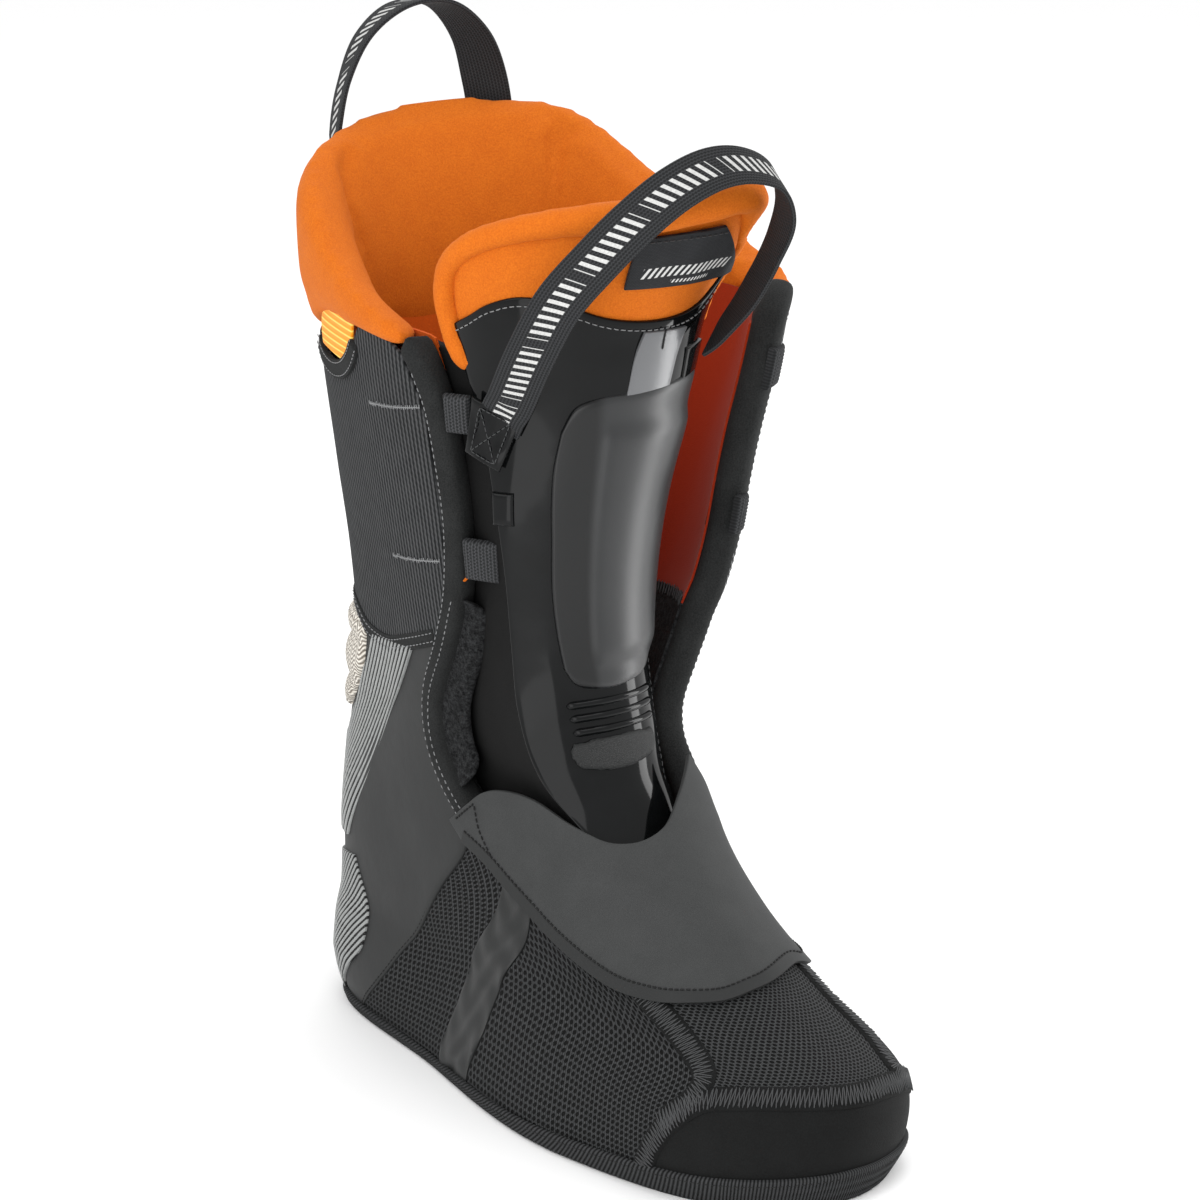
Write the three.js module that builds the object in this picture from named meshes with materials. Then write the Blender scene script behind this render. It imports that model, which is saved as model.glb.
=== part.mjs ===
// Removable inner boot of an alpine ski boot, right foot.
// Units are millimetres. +Z is up, the toe points to -Y, and -X is the outer (lateral) side.
// The origin is on the flat underside of the sole.
//
// The outer surface is one closed skin. A point on it is named by a turn and a height:
// the turn runs 0 at the heel, 0.25 on the outer side, 0.5 at the toe and 0.75 on the inner
// side, and a negative turn counts from the heel round the inner side.
// Every padded wall, cover and lining is a shell at a stated depth under or over that skin.

import * as THREE from 'three';

// Driving dimensions
const FOAM = { inner: -9, outer: -3 };          // padding under the cover
const COVER = { inner: -1.6, outer: 0 };          // outer fabric and moulded panels
const OVERLAY = { inner: 0.8, outer: 2.4 };       // pieces sewn on top of the cover
const LINING = { inner: -11.4, outer: -10.6 };      // inner fabric
const FOOT_BOTTOM = 8.4;                          // height where the foot's padding starts
const LOWER_TOP = 104;                            // top of the foot part
const CUFF_BOTTOM = 106;                          // bottom of the ankle part
const SEAM_GAP = 0.0016;                          // turn between neighbouring panels
const HEEL_EDGE = 0.165;                          // turn where heel and forefoot padding meet
const PAD_GAP = 0.007;                            // turn between those two paddings
const HINGE_GAP = 0.005;                          // turn on each side of a fold line
const TONGUE_FOLD = 144;                          // height where the tongue bends
const TURN_LENGTH = 550;                          // length of one turn, for spacing along lines

// Skin outlines by height: back and front in Y, then the half widths at the heel, waist,
// ball and toe, the inward bend of the toe, the sideways shift, and the extra half width
// of the inner side's front, where the flap stands open.
const OUTLINES = [
  { z: 0, back: 80, front: -203, widths: [33, 37, 45, 34], bend: 12, shift: 0, flare: 0 },
  { z: 14, back: 86, front: -209, widths: [36, 40, 48, 39], bend: 12, shift: 0, flare: 0 },
  { z: 32, back: 89, front: -209, widths: [38, 42, 49, 39], bend: 12, shift: 0, flare: 0 },
  { z: 44, back: 88, front: -200, widths: [38, 42, 46, 34], bend: 11, shift: 0, flare: 0 },
  { z: 58, back: 86, front: -176, widths: [38, 42, 41, 28], bend: 8, shift: 0, flare: 0 },
  { z: 78, back: 82, front: -146, widths: [37, 41, 38, 24], bend: 4, shift: 0, flare: 0 },
  { z: 102, back: 77, front: -118, widths: [36, 41, 37, 24], bend: 1, shift: 0, flare: 0 },
  { z: 134, back: 70, front: -93, widths: [35, 43, 40, 25], bend: 0, shift: 0, flare: 5 },
  { z: 170, back: 62, front: -82, widths: [36, 47, 46, 28], bend: 0, shift: 1, flare: 17 },
  { z: 220, back: 60, front: -84, widths: [43, 58, 57, 33], bend: 0, shift: 4, flare: 22 },
  { z: 275, back: 66, front: -92, widths: [51, 70, 70, 40], bend: 0, shift: 8, flare: 24 },
  { z: 335, back: 76, front: -104, widths: [56, 76, 76, 44], bend: 0, shift: 10, flare: 24 },
  { z: 365, back: 80, front: -108, widths: [57, 77, 77, 45], bend: 0, shift: 11, flare: 24 },
];
const STATIONS = [0, 0.08, 0.38, 0.7, 0.93, 1];    // where the widths lie, back to front
const BALL_FLARE = 0.6;                           // share of the flare at the ball

// Tongue sections by height: centre of the arc, its radius, the turn of its middle from
// straight ahead and its half angle, both in degrees.
const TONGUE_SECTIONS = [
  { z: 80, x: -8, y: -94, radius: 30, turn: 0, half: 40 },
  { z: 100, x: -8, y: -77, radius: 31, turn: 0, half: 44 },
  { z: 122, x: -9, y: -62, radius: 33, turn: 0, half: 52 },
  { z: 148, x: -10, y: -51, radius: 35, turn: -1, half: 58 },
  { z: 180, x: -12, y: -46, radius: 37, turn: -3, half: 62 },
  { z: 220, x: -11, y: -45, radius: 41, turn: -6, half: 64 },
  { z: 262, x: -5, y: -47, radius: 46, turn: -12, half: 64 },
  { z: 300, x: -1, y: -47, radius: 55, turn: -18, half: 62 },
  { z: 334, x: 19, y: -33, radius: 81, turn: -17, half: 48 },
];

// Seam lines on the skin as [turn, height] points, for the outer side.
const HEEL_SEAM = [[0.107, 14.5], [0.131, 27], [0.118, 50], [0.122, 73], [0.143, 96], [0.15, 104]];
const QUARTER_SEAM = [[0.147, 14.5], [0.175, 42], [0.215, 68], [0.25, 86], [0.252, 98]];
const BAND_BACK = [[0.197, 14.5], [0.208, 24], [0.228, 48], [0.268, 73], [0.272, 86]];
const BAND_FRONT = [[0.224, 14.5], [0.233, 25], [0.25, 46], [0.283, 65], [0.292, 74]];
const VAMP_FRONT = [[0.347, 14.5], [0.362, 28], [0.384, 39], [0.391, 42], [0.384, 52], [0.37, 58]];
const VAMP_FRONT_INNER = [[0.652, 14.5], [0.62, 25], [0.6, 31], [0.576, 38], [0.584, 48],
  [0.592, 61]];
const BUMPER_BOTTOM = [[0.351, 14.5], [0.5, 14.5], [0.648, 14.5]];
const BUMPER_TOP = [[0.356, 20], [0.366, 28], [0.386, 37], [0.417, 39.5], [0.46, 39.5], [0.5, 38.5],
  [0.555, 35.5], [0.596, 30], [0.63, 20]];
const TOE_PANEL_BOTTOM = [[0.397, 40.8], [0.417, 41], [0.46, 41], [0.5, 40], [0.555, 37.5],
  [0.573, 37.5]];
const TOE_PANEL_TOP = [[0.38, 59], [0.405, 61], [0.438, 62], [0.487, 65], [0.56, 66], [0.587, 62.5]];
const COVER_BOTTOM = [[0.27, 90], [0.292, 79], [0.315, 69], [0.345, 62], [0.405, 62], [0.438, 63],
  [0.487, 66], [0.567, 65], [0.62, 62], [0.66, 62], [0.7, 72], [0.73, 90]];
const COVER_TOP = [[0.252, 97], [0.297, 114], [0.355, 117], [0.383, 111], [0.41, 107], [0.465, 108],
  [0.495, 112], [0.545, 117], [0.588, 120], [0.602, 114], [0.625, 104], [0.7, 102], [0.748, 97]];
const FOREFOOT_TOP = [[0.172, 104], [0.25, 104], [0.3, 96], [0.36, 88], [0.5, 86], [0.62, 88],
  [0.66, 98], [0.7, 104], [0.828, 104]];
const OUTER_FRONT = [[0.264, 107], [0.251, 122], [0.258, 142], [0.288, 165], [0.31, 185], [0.32, 209],
  [0.32, 236], [0.315, 260], [0.305, 272], [0.294, 280]];
const INNER_FRONT = [[0.368, 108.5], [0.376, 124], [0.37, 143], [0.393, 172], [0.4, 195], [0.4, 250],
  [0.396, 276]];

// Fold lines of the two flaps: turn at the bottom and at the top of the cuff.
const FOLD = {
  outer: { bottom: 0.237, top: 0.128 },
  inner: { bottom: 0.298, top: 0.128 },
};
// Height of the collar's lower and upper edges by turn, from the inner front round the heel.
const COLLAR_BASE = [[-0.4, 281], [-0.3, 279], [-0.2, 271], [-0.11, 262], [0, 265], [0.11, 262],
  [0.2, 271], [0.3, 282]];
const COLLAR_CREST = [[-0.4, 289], [-0.34, 291], [-0.27, 297], [-0.17, 320], [-0.1, 338], [0, 343],
  [0.1, 338], [0.17, 322], [0.22, 305], [0.27, 292], [0.3, 289]];
// Collar section: depth over the skin, and share of the way from lower edge to crest.
const COLLAR_SECTION = [[-13, 0.35], [-13.5, 0.72], [-10, 0.93], [-4, 1], [3, 0.88], [7, 0.66],
  [7.5, 0.4], [4, 0.14], [-1, 0], [-9, 0]];
const FULL_COLLAR = 50;                           // collar height at which it is fully padded
const COLLAR_SPAN = { lateral: 0.29, medial: 0.385 };  // turn of each front end of the collar
const COLLAR_GAP = 0.006;                         // turn from a fold line to a collar end

// Level slabs of the sole: the skin height they follow, the inset from it, and their levels.
const SLABS = {
  outsole: { follows: 0, inset: 1, low: 0, high: 4, sides: 44 },
  sole_board: { follows: 6, inset: 4, low: 4.4, high: 7.4, sides: 40 },
  footbed: { follows: 14, inset: 13.5, low: 7.8, high: 12, sides: 40 },
};
// Ribbed tape round the sole.
const TAPE = { low: 1, high: 13.5, depth: { inner: 0.2, outer: 1.8 } };

// Layers of the tongue by depth under its front face.
const TONGUE_SHELL = { inner: -1.8, outer: 0 };
const TONGUE_BASE_FOAM = { inner: -8, outer: -2.4 };
const TONGUE_FOAM = { inner: -11, outer: -2.4 };
const TONGUE_RIM = { inner: -14, outer: 3 };
const FLEX_RIB = { count: 3, start: 4, pitch: 6, height: 3.2, depth: { inner: 0.6, outer: 3.2 } };

const STRAP = { width: 20, thickness: 1.6 };
const LACE_LOOP = { half: 9, depth: { inner: -2.4, outer: 1.2 } };
const EDGE_BINDING = { from: 0.0025, to: 0.0105, depth: { inner: -9, outer: 0.6 } };

const COLOURS = {
  black: [0x17181a, 0.75, 0], knit: [0x2b2c2e, 0.9, 0], film: [0x3a3b3d, 0.35, 0],
  gloss: [0x1b1c1e, 0.25, 0], grey: [0x4a4b4d, 0.6, 0], silver: [0x9a9b9c, 0.5, 0],
  orange: [0xe8701c, 0.85, 0], red: [0x8a2a10, 0.9, 0], foam: [0x4c4d50, 0.95, 0],
  webbing: [0x26272a, 0.8, 0], rubber: [0x1c1c1d, 0.9, 0], board: [0x8b8478, 0.8, 0],
};

const object = new THREE.Group();

// Curves and surfaces

const clamp = THREE.MathUtils.clamp;
const lerp = THREE.MathUtils.lerp;

// Cubic through rows sorted by z, with each row's slope taken from its neighbours.
function rowValue(rows, z, read) {
  let i = 0;
  while (i < rows.length - 2 && z > rows[i + 1].z) i += 1;
  const slope = (k) => {
    const low = rows[Math.max(k - 1, 0)];
    const high = rows[Math.min(k + 1, rows.length - 1)];
    return (read(high) - read(low)) / (high.z - low.z);
  };
  const span = rows[i + 1].z - rows[i].z;
  const t = clamp((z - rows[i].z) / span, 0, 1);
  const t2 = t * t;
  const t3 = t2 * t;
  return (2 * t3 - 3 * t2 + 1) * read(rows[i]) + (t3 - 2 * t2 + t) * span * slope(i)
    + (3 * t2 - 2 * t3) * read(rows[i + 1]) + (t3 - t2) * span * slope(i + 1);
}

// Closed centripetal spline through the ten control points of one height.
const outlineCache = new Map();
function outline(z) {
  if (outlineCache.has(z)) return outlineCache.get(z);
  const back = rowValue(OUTLINES, z, (row) => row.back);
  const front = rowValue(OUTLINES, z, (row) => row.front);
  const bend = rowValue(OUTLINES, z, (row) => row.bend);
  const shift = rowValue(OUTLINES, z, (row) => row.shift);
  const flare = rowValue(OUTLINES, z, (row) => row.flare);
  const widths = [0, 1, 2, 3].map((k) => rowValue(OUTLINES, z, (row) => row.widths[k]));
  const half = [0, ...widths, 0];
  const extra = [0, 0, 0, BALL_FLARE * flare, flare, 0];
  const centre = (k) => shift + bend * clamp((STATIONS[k] - 0.45) / 0.55, 0, 1) ** 1.6;
  const along = (k) => lerp(back, front, STATIONS[k]);
  const points = [];
  for (let k = 0; k <= 5; k += 1) {
    points.push(new THREE.Vector3(centre(k) - half[k], along(k), z));
  }
  for (let k = 4; k >= 1; k -= 1) {
    points.push(new THREE.Vector3(centre(k) + half[k] + extra[k], along(k), z));
  }
  const curve = new THREE.CatmullRomCurve3(points, true, 'centripetal');
  outlineCache.set(z, curve);
  return curve;
}

function skinPoint(turn, z) {
  return outline(z).getPoint(((turn % 1) + 1) % 1);
}

function tonguePoint(across, z) {
  const at = (name) => rowValue(TONGUE_SECTIONS, z, (row) => row[name]);
  const angle = THREE.MathUtils.degToRad(at('turn') + across * at('half'));
  const radius = at('radius');
  return new THREE.Vector3(at('x') + radius * Math.sin(angle), at('y') - radius * Math.cos(angle), z);
}

// A surface point pushed out along the surface's own normal.
function offsetPoint(surface, u, z, depth) {
  const du = 0.004;
  const dz = 1;
  const along = surface(u + du, z).sub(surface(u - du, z));
  const up = surface(u, z + dz).sub(surface(u, z - dz));
  return surface(u, z).addScaledVector(along.cross(up).normalize(), depth);
}
const skin = (turn, z, depth) => offsetPoint(skinPoint, turn, z, depth);
const tongue = (across, z, depth) => offsetPoint(tonguePoint, across, z, depth);

// A line of [turn, height] points as a function of 0..1 by its rough length.
function track(points) {
  const at = points.map(([turn, z]) => [turn * TURN_LENGTH, z]);
  const reach = [0];
  for (let i = 1; i < at.length; i += 1) {
    reach.push(reach[i - 1] + Math.hypot(at[i][0] - at[i - 1][0], at[i][1] - at[i - 1][1]));
  }
  return (t) => {
    const wanted = t * reach[reach.length - 1];
    let i = 0;
    while (i < points.length - 2 && wanted > reach[i + 1]) i += 1;
    const f = clamp((wanted - reach[i]) / (reach[i + 1] - reach[i]), 0, 1);
    return [lerp(points[i][0], points[i + 1][0], f), lerp(points[i][1], points[i + 1][1], f)];
  };
}
const shifted = (points, turn) => points.map(([a, z]) => [a + turn, z]);
const mirrored = (points) => points.map(([a, z]) => [1 - a, z]);
const negative = (points) => points.map(([a, z]) => [-a, z]);

// Height on a profile of [turn, height] points at a turn, with rounded corners.
function profile(points, turn) {
  return rowValue(points.map(([a, z]) => ({ z: a, value: z })), turn, (row) => row.value);
}

// Ruled patches of the skin: left to right between two rising lines, or bottom to top.
function between(left, right) {
  const a = track(left);
  const b = track(right);
  return (u, v) => [lerp(a(v)[0], b(v)[0], u), lerp(a(v)[1], b(v)[1], u)];
}
function stacked(bottom, top) {
  const a = track(bottom);
  const b = track(top);
  return (u, v) => [lerp(a(u)[0], b(u)[0], v), lerp(a(u)[1], b(u)[1], v)];
}

// Solids

function solid(positions, index) {
  const geometry = new THREE.BufferGeometry();
  geometry.setAttribute('position', new THREE.Float32BufferAttribute(positions, 3));
  geometry.setIndex(index);
  geometry.computeVertexNormals();
  return geometry;
}

// A closed shell between two depths of a patch. point(u, v, depth) gives a vertex.
function shell(point, columns, rows, { inner, outer }) {
  const positions = [];
  for (const depth of [outer, inner]) {
    for (let j = 0; j <= rows; j += 1) {
      for (let i = 0; i <= columns; i += 1) {
        positions.push(...point(i / columns, j / rows, depth).toArray());
      }
    }
  }
  const stride = columns + 1;
  const layer = stride * (rows + 1);
  const out = (i, j) => j * stride + i;
  const inn = (i, j) => layer + j * stride + i;
  const index = [];
  const quad = (a, b, c, d) => index.push(a, b, c, a, c, d);
  for (let j = 0; j < rows; j += 1) {
    for (let i = 0; i < columns; i += 1) {
      quad(out(i, j), out(i + 1, j), out(i + 1, j + 1), out(i, j + 1));
      quad(inn(i, j + 1), inn(i + 1, j + 1), inn(i + 1, j), inn(i, j));
    }
  }
  for (let i = 0; i < columns; i += 1) {
    quad(out(i, 0), inn(i, 0), inn(i + 1, 0), out(i + 1, 0));
    quad(out(i + 1, rows), inn(i + 1, rows), inn(i, rows), out(i, rows));
  }
  for (let j = 0; j < rows; j += 1) {
    quad(out(0, j), out(0, j + 1), inn(0, j + 1), inn(0, j));
    quad(out(columns, j + 1), out(columns, j), inn(columns, j), inn(columns, j + 1));
  }
  return solid(positions, index);
}

// A section swept along a path, with flat ends. ring(t) gives the section's points,
// anticlockwise seen against the direction of travel.
function sweep(ring, steps) {
  const positions = [];
  let count = 0;
  for (let s = 0; s <= steps; s += 1) {
    const points = ring(s / steps);
    count = points.length;
    points.forEach((p) => positions.push(...p.toArray()));
  }
  const index = [];
  for (let s = 0; s < steps; s += 1) {
    for (let k = 0; k < count; k += 1) {
      const next = (k + 1) % count;
      const a = s * count + k;
      const b = s * count + next;
      index.push(a, b, b + count, a, b + count, a + count);
    }
  }
  const last = steps * count;
  THREE.ShapeUtils.triangulateShape(planarOutline(ring(0)), []).forEach(([a, b, c]) => {
    index.push(a, c, b);
    index.push(last + a, last + b, last + c);
  });
  return solid(positions, index);
}

// Flat picture of a ring of points, seen along its own normal.
function planarOutline(points) {
  const centre = points.reduce((sum, p) => sum.add(p), new THREE.Vector3())
    .divideScalar(points.length);
  const normal = new THREE.Vector3();
  points.forEach((p, k) => {
    const next = points[(k + 1) % points.length];
    normal.add(p.clone().sub(centre).cross(next.clone().sub(centre)));
  });
  normal.normalize();
  const across = points[0].clone().sub(centre);
  across.addScaledVector(normal, -across.dot(normal)).normalize();
  const up = normal.clone().cross(across);
  return points.map((p) => {
    const r = p.clone().sub(centre);
    return new THREE.Vector2(r.dot(across), r.dot(up));
  });
}

// A flat strap along a list of { at, face } stops, where face is the way its face looks.
function strap(stops, { width, thickness }, steps) {
  const path = new THREE.CatmullRomCurve3(stops.map((stop) => new THREE.Vector3(...stop.at)),
    false, 'centripetal');
  const faces = new THREE.CatmullRomCurve3(stops.map((stop) => new THREE.Vector3(...stop.face)),
    false, 'centripetal');
  return sweep((t) => {
    const centre = path.getPoint(t);
    const travel = path.getTangent(t);
    const side = travel.clone().cross(faces.getPoint(t)).normalize();
    const face = side.clone().cross(travel).normalize();
    const corner = (a, b) => centre.clone().addScaledVector(side, a * width / 2)
      .addScaledVector(face, b * thickness / 2);
    return [corner(-1, -1), corner(-1, 1), corner(1, 1), corner(1, -1)];
  }, steps);
}

function add(name, geometry, colour) {
  const [color, roughness, metalness] = COLOURS[colour];
  const material = new THREE.MeshStandardMaterial({ color, roughness, metalness });
  const mesh = new THREE.Mesh(geometry, material);
  mesh.name = name;
  object.add(mesh);
}

// A patch of the skin, as rows and columns of flat faces at a stated depth.
function addPatch(name, area, columns, rows, depth, colour) {
  const point = (u, v, d) => skin(...area(u, v), d);
  add(name, shell(point, columns, rows, depth), colour);
}

// A patch of the tongue, from left to right in shares of its half width, and by height.
function addTonguePatch(name, [left, right], [low, high], columns, rows, depth, colour) {
  const point = (u, v, d) => tongue(lerp(left, right, u), lerp(low, high, v), d);
  add(name, shell(point, columns, rows, depth), colour);
}

// Sole

// A level slab that fills the skin's outline at one height, shrunk by an inset.
function slab({ follows, inset, low, high, sides }) {
  const shape = new THREE.Shape();
  for (let i = 0; i < sides; i += 1) {
    const p = skin(i / sides, follows, -inset);
    if (i === 0) shape.moveTo(p.x, p.y);
    else shape.lineTo(p.x, p.y);
  }
  const geometry = new THREE.ExtrudeGeometry(shape, { depth: high - low, bevelEnabled: false });
  return geometry.translate(0, 0, low);
}
add('outsole', slab(SLABS.outsole), 'rubber');
add('sole_board', slab(SLABS.sole_board), 'board');
add('footbed', slab(SLABS.footbed), 'grey');
const tapeEnd = SEAM_GAP / 2;
const tapeArea = (u, v) => [lerp(tapeEnd, 1 - tapeEnd, u), lerp(TAPE.low, TAPE.high, v)];
addPatch('sole_binding', tapeArea, 56, 1, TAPE.depth, 'webbing');

// Foot part

const padEdge = HEEL_EDGE + PAD_GAP;
const forefootBottom = [[padEdge, FOOT_BOTTOM], [0.5, FOOT_BOTTOM], [1 - padEdge, FOOT_BOTTOM]];
addPatch('forefoot_foam', stacked(forefootBottom, FOREFOOT_TOP), 30, 6, FOAM, 'foam');
addPatch('forefoot_lining', stacked(forefootBottom, FOREFOOT_TOP), 28, 5, LINING, 'black');
const heelBottom = [[-HEEL_EDGE, FOOT_BOTTOM], [0, FOOT_BOTTOM], [HEEL_EDGE, FOOT_BOTTOM]];
const heelTop = [[-HEEL_EDGE, LOWER_TOP], [0, LOWER_TOP], [HEEL_EDGE, LOWER_TOP]];
addPatch('heel_foam', stacked(heelBottom, heelTop), 16, 5, FOAM, 'foam');
addPatch('heel_lining', stacked(heelBottom, heelTop), 10, 4, LINING, 'black');

addPatch('heel_panel', between(negative(HEEL_SEAM), HEEL_SEAM), 16, 5, COVER, 'silver');
const inwards = (points) => shifted(points, SEAM_GAP);
const outwards = (points) => shifted(points, -SEAM_GAP);
const footPanels = [
  ['quarter', HEEL_SEAM, QUARTER_SEAM, 3, 5, 'film'],
  ['vamp_mesh', QUARTER_SEAM, BAND_BACK, 2, 5, 'knit'],
  ['forefoot_band', BAND_BACK, BAND_FRONT, 1, 5, 'grey'],
];
for (const [name, back, front, columns, rows, colour] of footPanels) {
  const left = inwards(back);
  const right = outwards(front);
  addPatch(`${name}_lateral`, between(left, right), columns, rows, COVER, colour);
  addPatch(`${name}_medial`, between(mirrored(right), mirrored(left)), columns, rows, COVER, colour);
}
addPatch('vamp_lateral', between(inwards(BAND_FRONT), outwards(VAMP_FRONT)), 6, 5, COVER, 'knit');
addPatch('vamp_medial', between(inwards(VAMP_FRONT_INNER), outwards(mirrored(BAND_FRONT))),
  9, 6, COVER, 'knit');
addPatch('toe_bumper', stacked(BUMPER_BOTTOM, BUMPER_TOP), 14, 3, COVER, 'rubber');
addPatch('toe_panel', stacked(TOE_PANEL_BOTTOM, TOE_PANEL_TOP), 8, 2, COVER, 'black');
addPatch('instep_cover', stacked(COVER_BOTTOM, COVER_TOP), 18, 3, OVERLAY, 'grey');

// Cuff: a fixed back and two flaps that fold out about a slanted line

const collarBase = (turn) => profile(COLLAR_BASE, turn);
const collarCrest = (turn) => profile(COLLAR_CREST, turn);
const cuffLine = (side, gap, top) => {
  const { bottom, top: end } = FOLD[side];
  return [[bottom + gap, CUFF_BOTTOM], [end + gap, top]];
};
const backLeft = negative(cuffLine('inner', -HINGE_GAP, 0));
const backRight = cuffLine('outer', -HINGE_GAP, 0);
const COLLAR_CLEARANCE = 1.2;
// The fixed back between two shares of its height.
const backArea = (low, high) => (u, v) => {
  const up = lerp(low, high, v);
  const left = lerp(backLeft[0][0], backLeft[1][0], up);
  const right = lerp(backRight[0][0], backRight[1][0], up);
  const turn = lerp(left, right, u);
  return [turn, lerp(CUFF_BOTTOM, collarBase(turn) - COLLAR_CLEARANCE, up)];
};
addPatch('cuff_back_foam', backArea(0, 1), 16, 9, FOAM, 'foam');
addPatch('cuff_back_lining', backArea(0, 1), 16, 9, LINING, 'orange');
addPatch('achilles_knit', backArea(0, 0.3), 16, 3, COVER, 'silver');
addPatch('cuff_back_panel', backArea(0.312, 1), 16, 6, COVER, 'knit');

const FLAPS = {
  lateral: { side: 'outer', front: OUTER_FRONT, sign: 1 },
  medial: { side: 'inner', front: INNER_FRONT, sign: -1 },
};
for (const [name, { side, front, sign }] of Object.entries(FLAPS)) {
  const top = FOLD[side].top;
  const fold = cuffLine(side, HINGE_GAP, collarBase(sign * top) - COLLAR_CLEARANCE);
  const edge = outwards(front);
  const area = sign > 0 ? between(fold, edge) : between(negative(edge), negative(fold));
  addPatch(`${name}_flap_foam`, area, 6, 10, FOAM, 'foam');
  addPatch(`${name}_flap_panel`, area, 6, 10, COVER, 'knit');
  addPatch(`${name}_flap_lining`, area, 5, 7, LINING, sign > 0 ? 'black' : 'red');
  const near = shifted(front, EDGE_BINDING.from);
  const far = shifted(front, EDGE_BINDING.to);
  const strip = sign > 0 ? between(near, far) : between(negative(far), negative(near));
  addPatch(`${name}_edge_binding`, strip, 1, 10, EDGE_BINDING.depth, 'black');
}

// Collar roll

// One stretch of the padded collar between two turns.
function collar(from, to, steps) {
  return sweep((t) => {
    const turn = lerp(from, to, t);
    const base = collarBase(turn);
    const height = collarCrest(turn) - base;
    const puff = Math.min(1, height / FULL_COLLAR);
    return COLLAR_SECTION.map(([depth, up]) => {
      const bulge = depth > 0 ? depth * puff : depth;
      return skin(turn, base + height * up, bulge);
    });
  }, steps);
}
const { top: foldTurn } = FOLD.outer;
add('collar_back', collar(COLLAR_GAP - foldTurn, foldTurn - COLLAR_GAP, 14), 'orange');
add('collar_lateral', collar(foldTurn + COLLAR_GAP, COLLAR_SPAN.lateral, 7), 'orange');
add('collar_medial', collar(-COLLAR_SPAN.medial, -foldTurn - COLLAR_GAP, 9), 'orange');

// Tongue

const fold = TONGUE_FOLD;
const foldGap = 2.5;
const ribGap = FLEX_RIB.start + FLEX_RIB.count * FLEX_RIB.pitch;
addTonguePatch('tongue_base_shell', [-0.62, 0.96], [101, fold - foldGap], 7, 3, TONGUE_SHELL, 'gloss');
addTonguePatch('tongue_base_foam', [-0.62, 0.92], [104, fold - 4], 7, 3, TONGUE_BASE_FOAM, 'foam');
addTonguePatch('tongue_shell', [-0.84, 0.97], [fold + foldGap, 300], 9, 8, TONGUE_SHELL, 'gloss');
addTonguePatch('tongue_foam', [-0.84, 1], [fold + foldGap, 318], 9, 9, TONGUE_FOAM, 'orange');
addTonguePatch('tongue_rim', [-1, 1], [319, 338], 10, 2, TONGUE_RIM, 'orange');
addTonguePatch('tongue_top_panel', [-0.5, 0.8], [302, 317.5], 7, 1, TONGUE_SHELL, 'black');
addTonguePatch('shin_plate', [-0.2, 0.6], [fold + ribGap, 274], 6, 6, OVERLAY, 'grey');
addTonguePatch('tongue_label', [-0.1, 0.56], [280, 297], 5, 1, OVERLAY, 'black');
for (let k = 0; k < FLEX_RIB.count; k += 1) {
  const low = fold + FLEX_RIB.start + FLEX_RIB.pitch * k;
  const span = [low, low + FLEX_RIB.height];
  addTonguePatch(`flex_rib_${k + 1}`, [-0.55, 0.65], span, 5, 1, FLEX_RIB.depth, 'gloss');
}
addTonguePatch('tongue_soft_pad', [-0.6, 0.7], [126, fold - 3], 6, 1, OVERLAY, 'black');
addTonguePatch('tongue_tab_lateral', [-0.82, -0.5], [238, 256], 2, 2, OVERLAY, 'webbing');
addTonguePatch('tongue_tab_medial', [0.66, 0.95], [262, 278], 2, 2, OVERLAY, 'webbing');

// Straps and loops

const tonguePull = [
  { at: [-47, -81, 266], face: [-0.75, -0.65, 0] },
  { at: [-48.5, -96, 285], face: [-0.68, -0.72, 0.15] },
  { at: [-45.5, -110, 306], face: [-0.6, -0.7, 0.35] },
  { at: [-36.5, -119, 321], face: [-0.5, -0.7, 0.5] },
  { at: [-25, -125, 334], face: [-0.4, -0.7, 0.6] },
  { at: [-11, -129.5, 345], face: [-0.25, -0.7, 0.7] },
  { at: [3, -131.5, 350.5], face: [-0.1, -0.65, 0.75] },
  { at: [15.5, -132, 350.5], face: [0.15, -0.6, 0.8] },
  { at: [28.5, -131, 345], face: [0.6, -0.45, 0.65] },
  { at: [35, -128, 333], face: [0.9, -0.3, 0.25] },
  { at: [36, -120, 318], face: [0.93, -0.35, 0] },
  { at: [34, -110, 301.5], face: [0.9, -0.42, 0] },
  { at: [30.5, -100, 288], face: [0.78, -0.62, 0] },
  { at: [28.5, -92.5, 280], face: [0.62, -0.78, 0] },
];
add('tongue_pull_strap', strap(tonguePull, STRAP, 22), 'webbing');

const rearPull = [
  { at: [-24, 80, 312], face: [-0.3, 1, 0] },
  { at: [-21, 83.5, 331], face: [-0.6, 0.8, 0] },
  { at: [-16, 85, 350], face: [-0.95, 0.3, 0.1] },
  { at: [-7, 85, 367], face: [-0.75, 0.2, 0.6] },
  { at: [8, 84.5, 377], face: [-0.15, 0.1, 1] },
  { at: [25, 84, 376.5], face: [0.3, 0.2, 0.95] },
  { at: [38, 83.5, 364], face: [0.75, 0.5, 0.5] },
  { at: [44, 83, 347], face: [0.6, 0.8, 0.1] },
  { at: [46, 82, 330], face: [0.5, 0.9, 0] },
  { at: [43, 79, 312], face: [0.35, 1, 0] },
];
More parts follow.
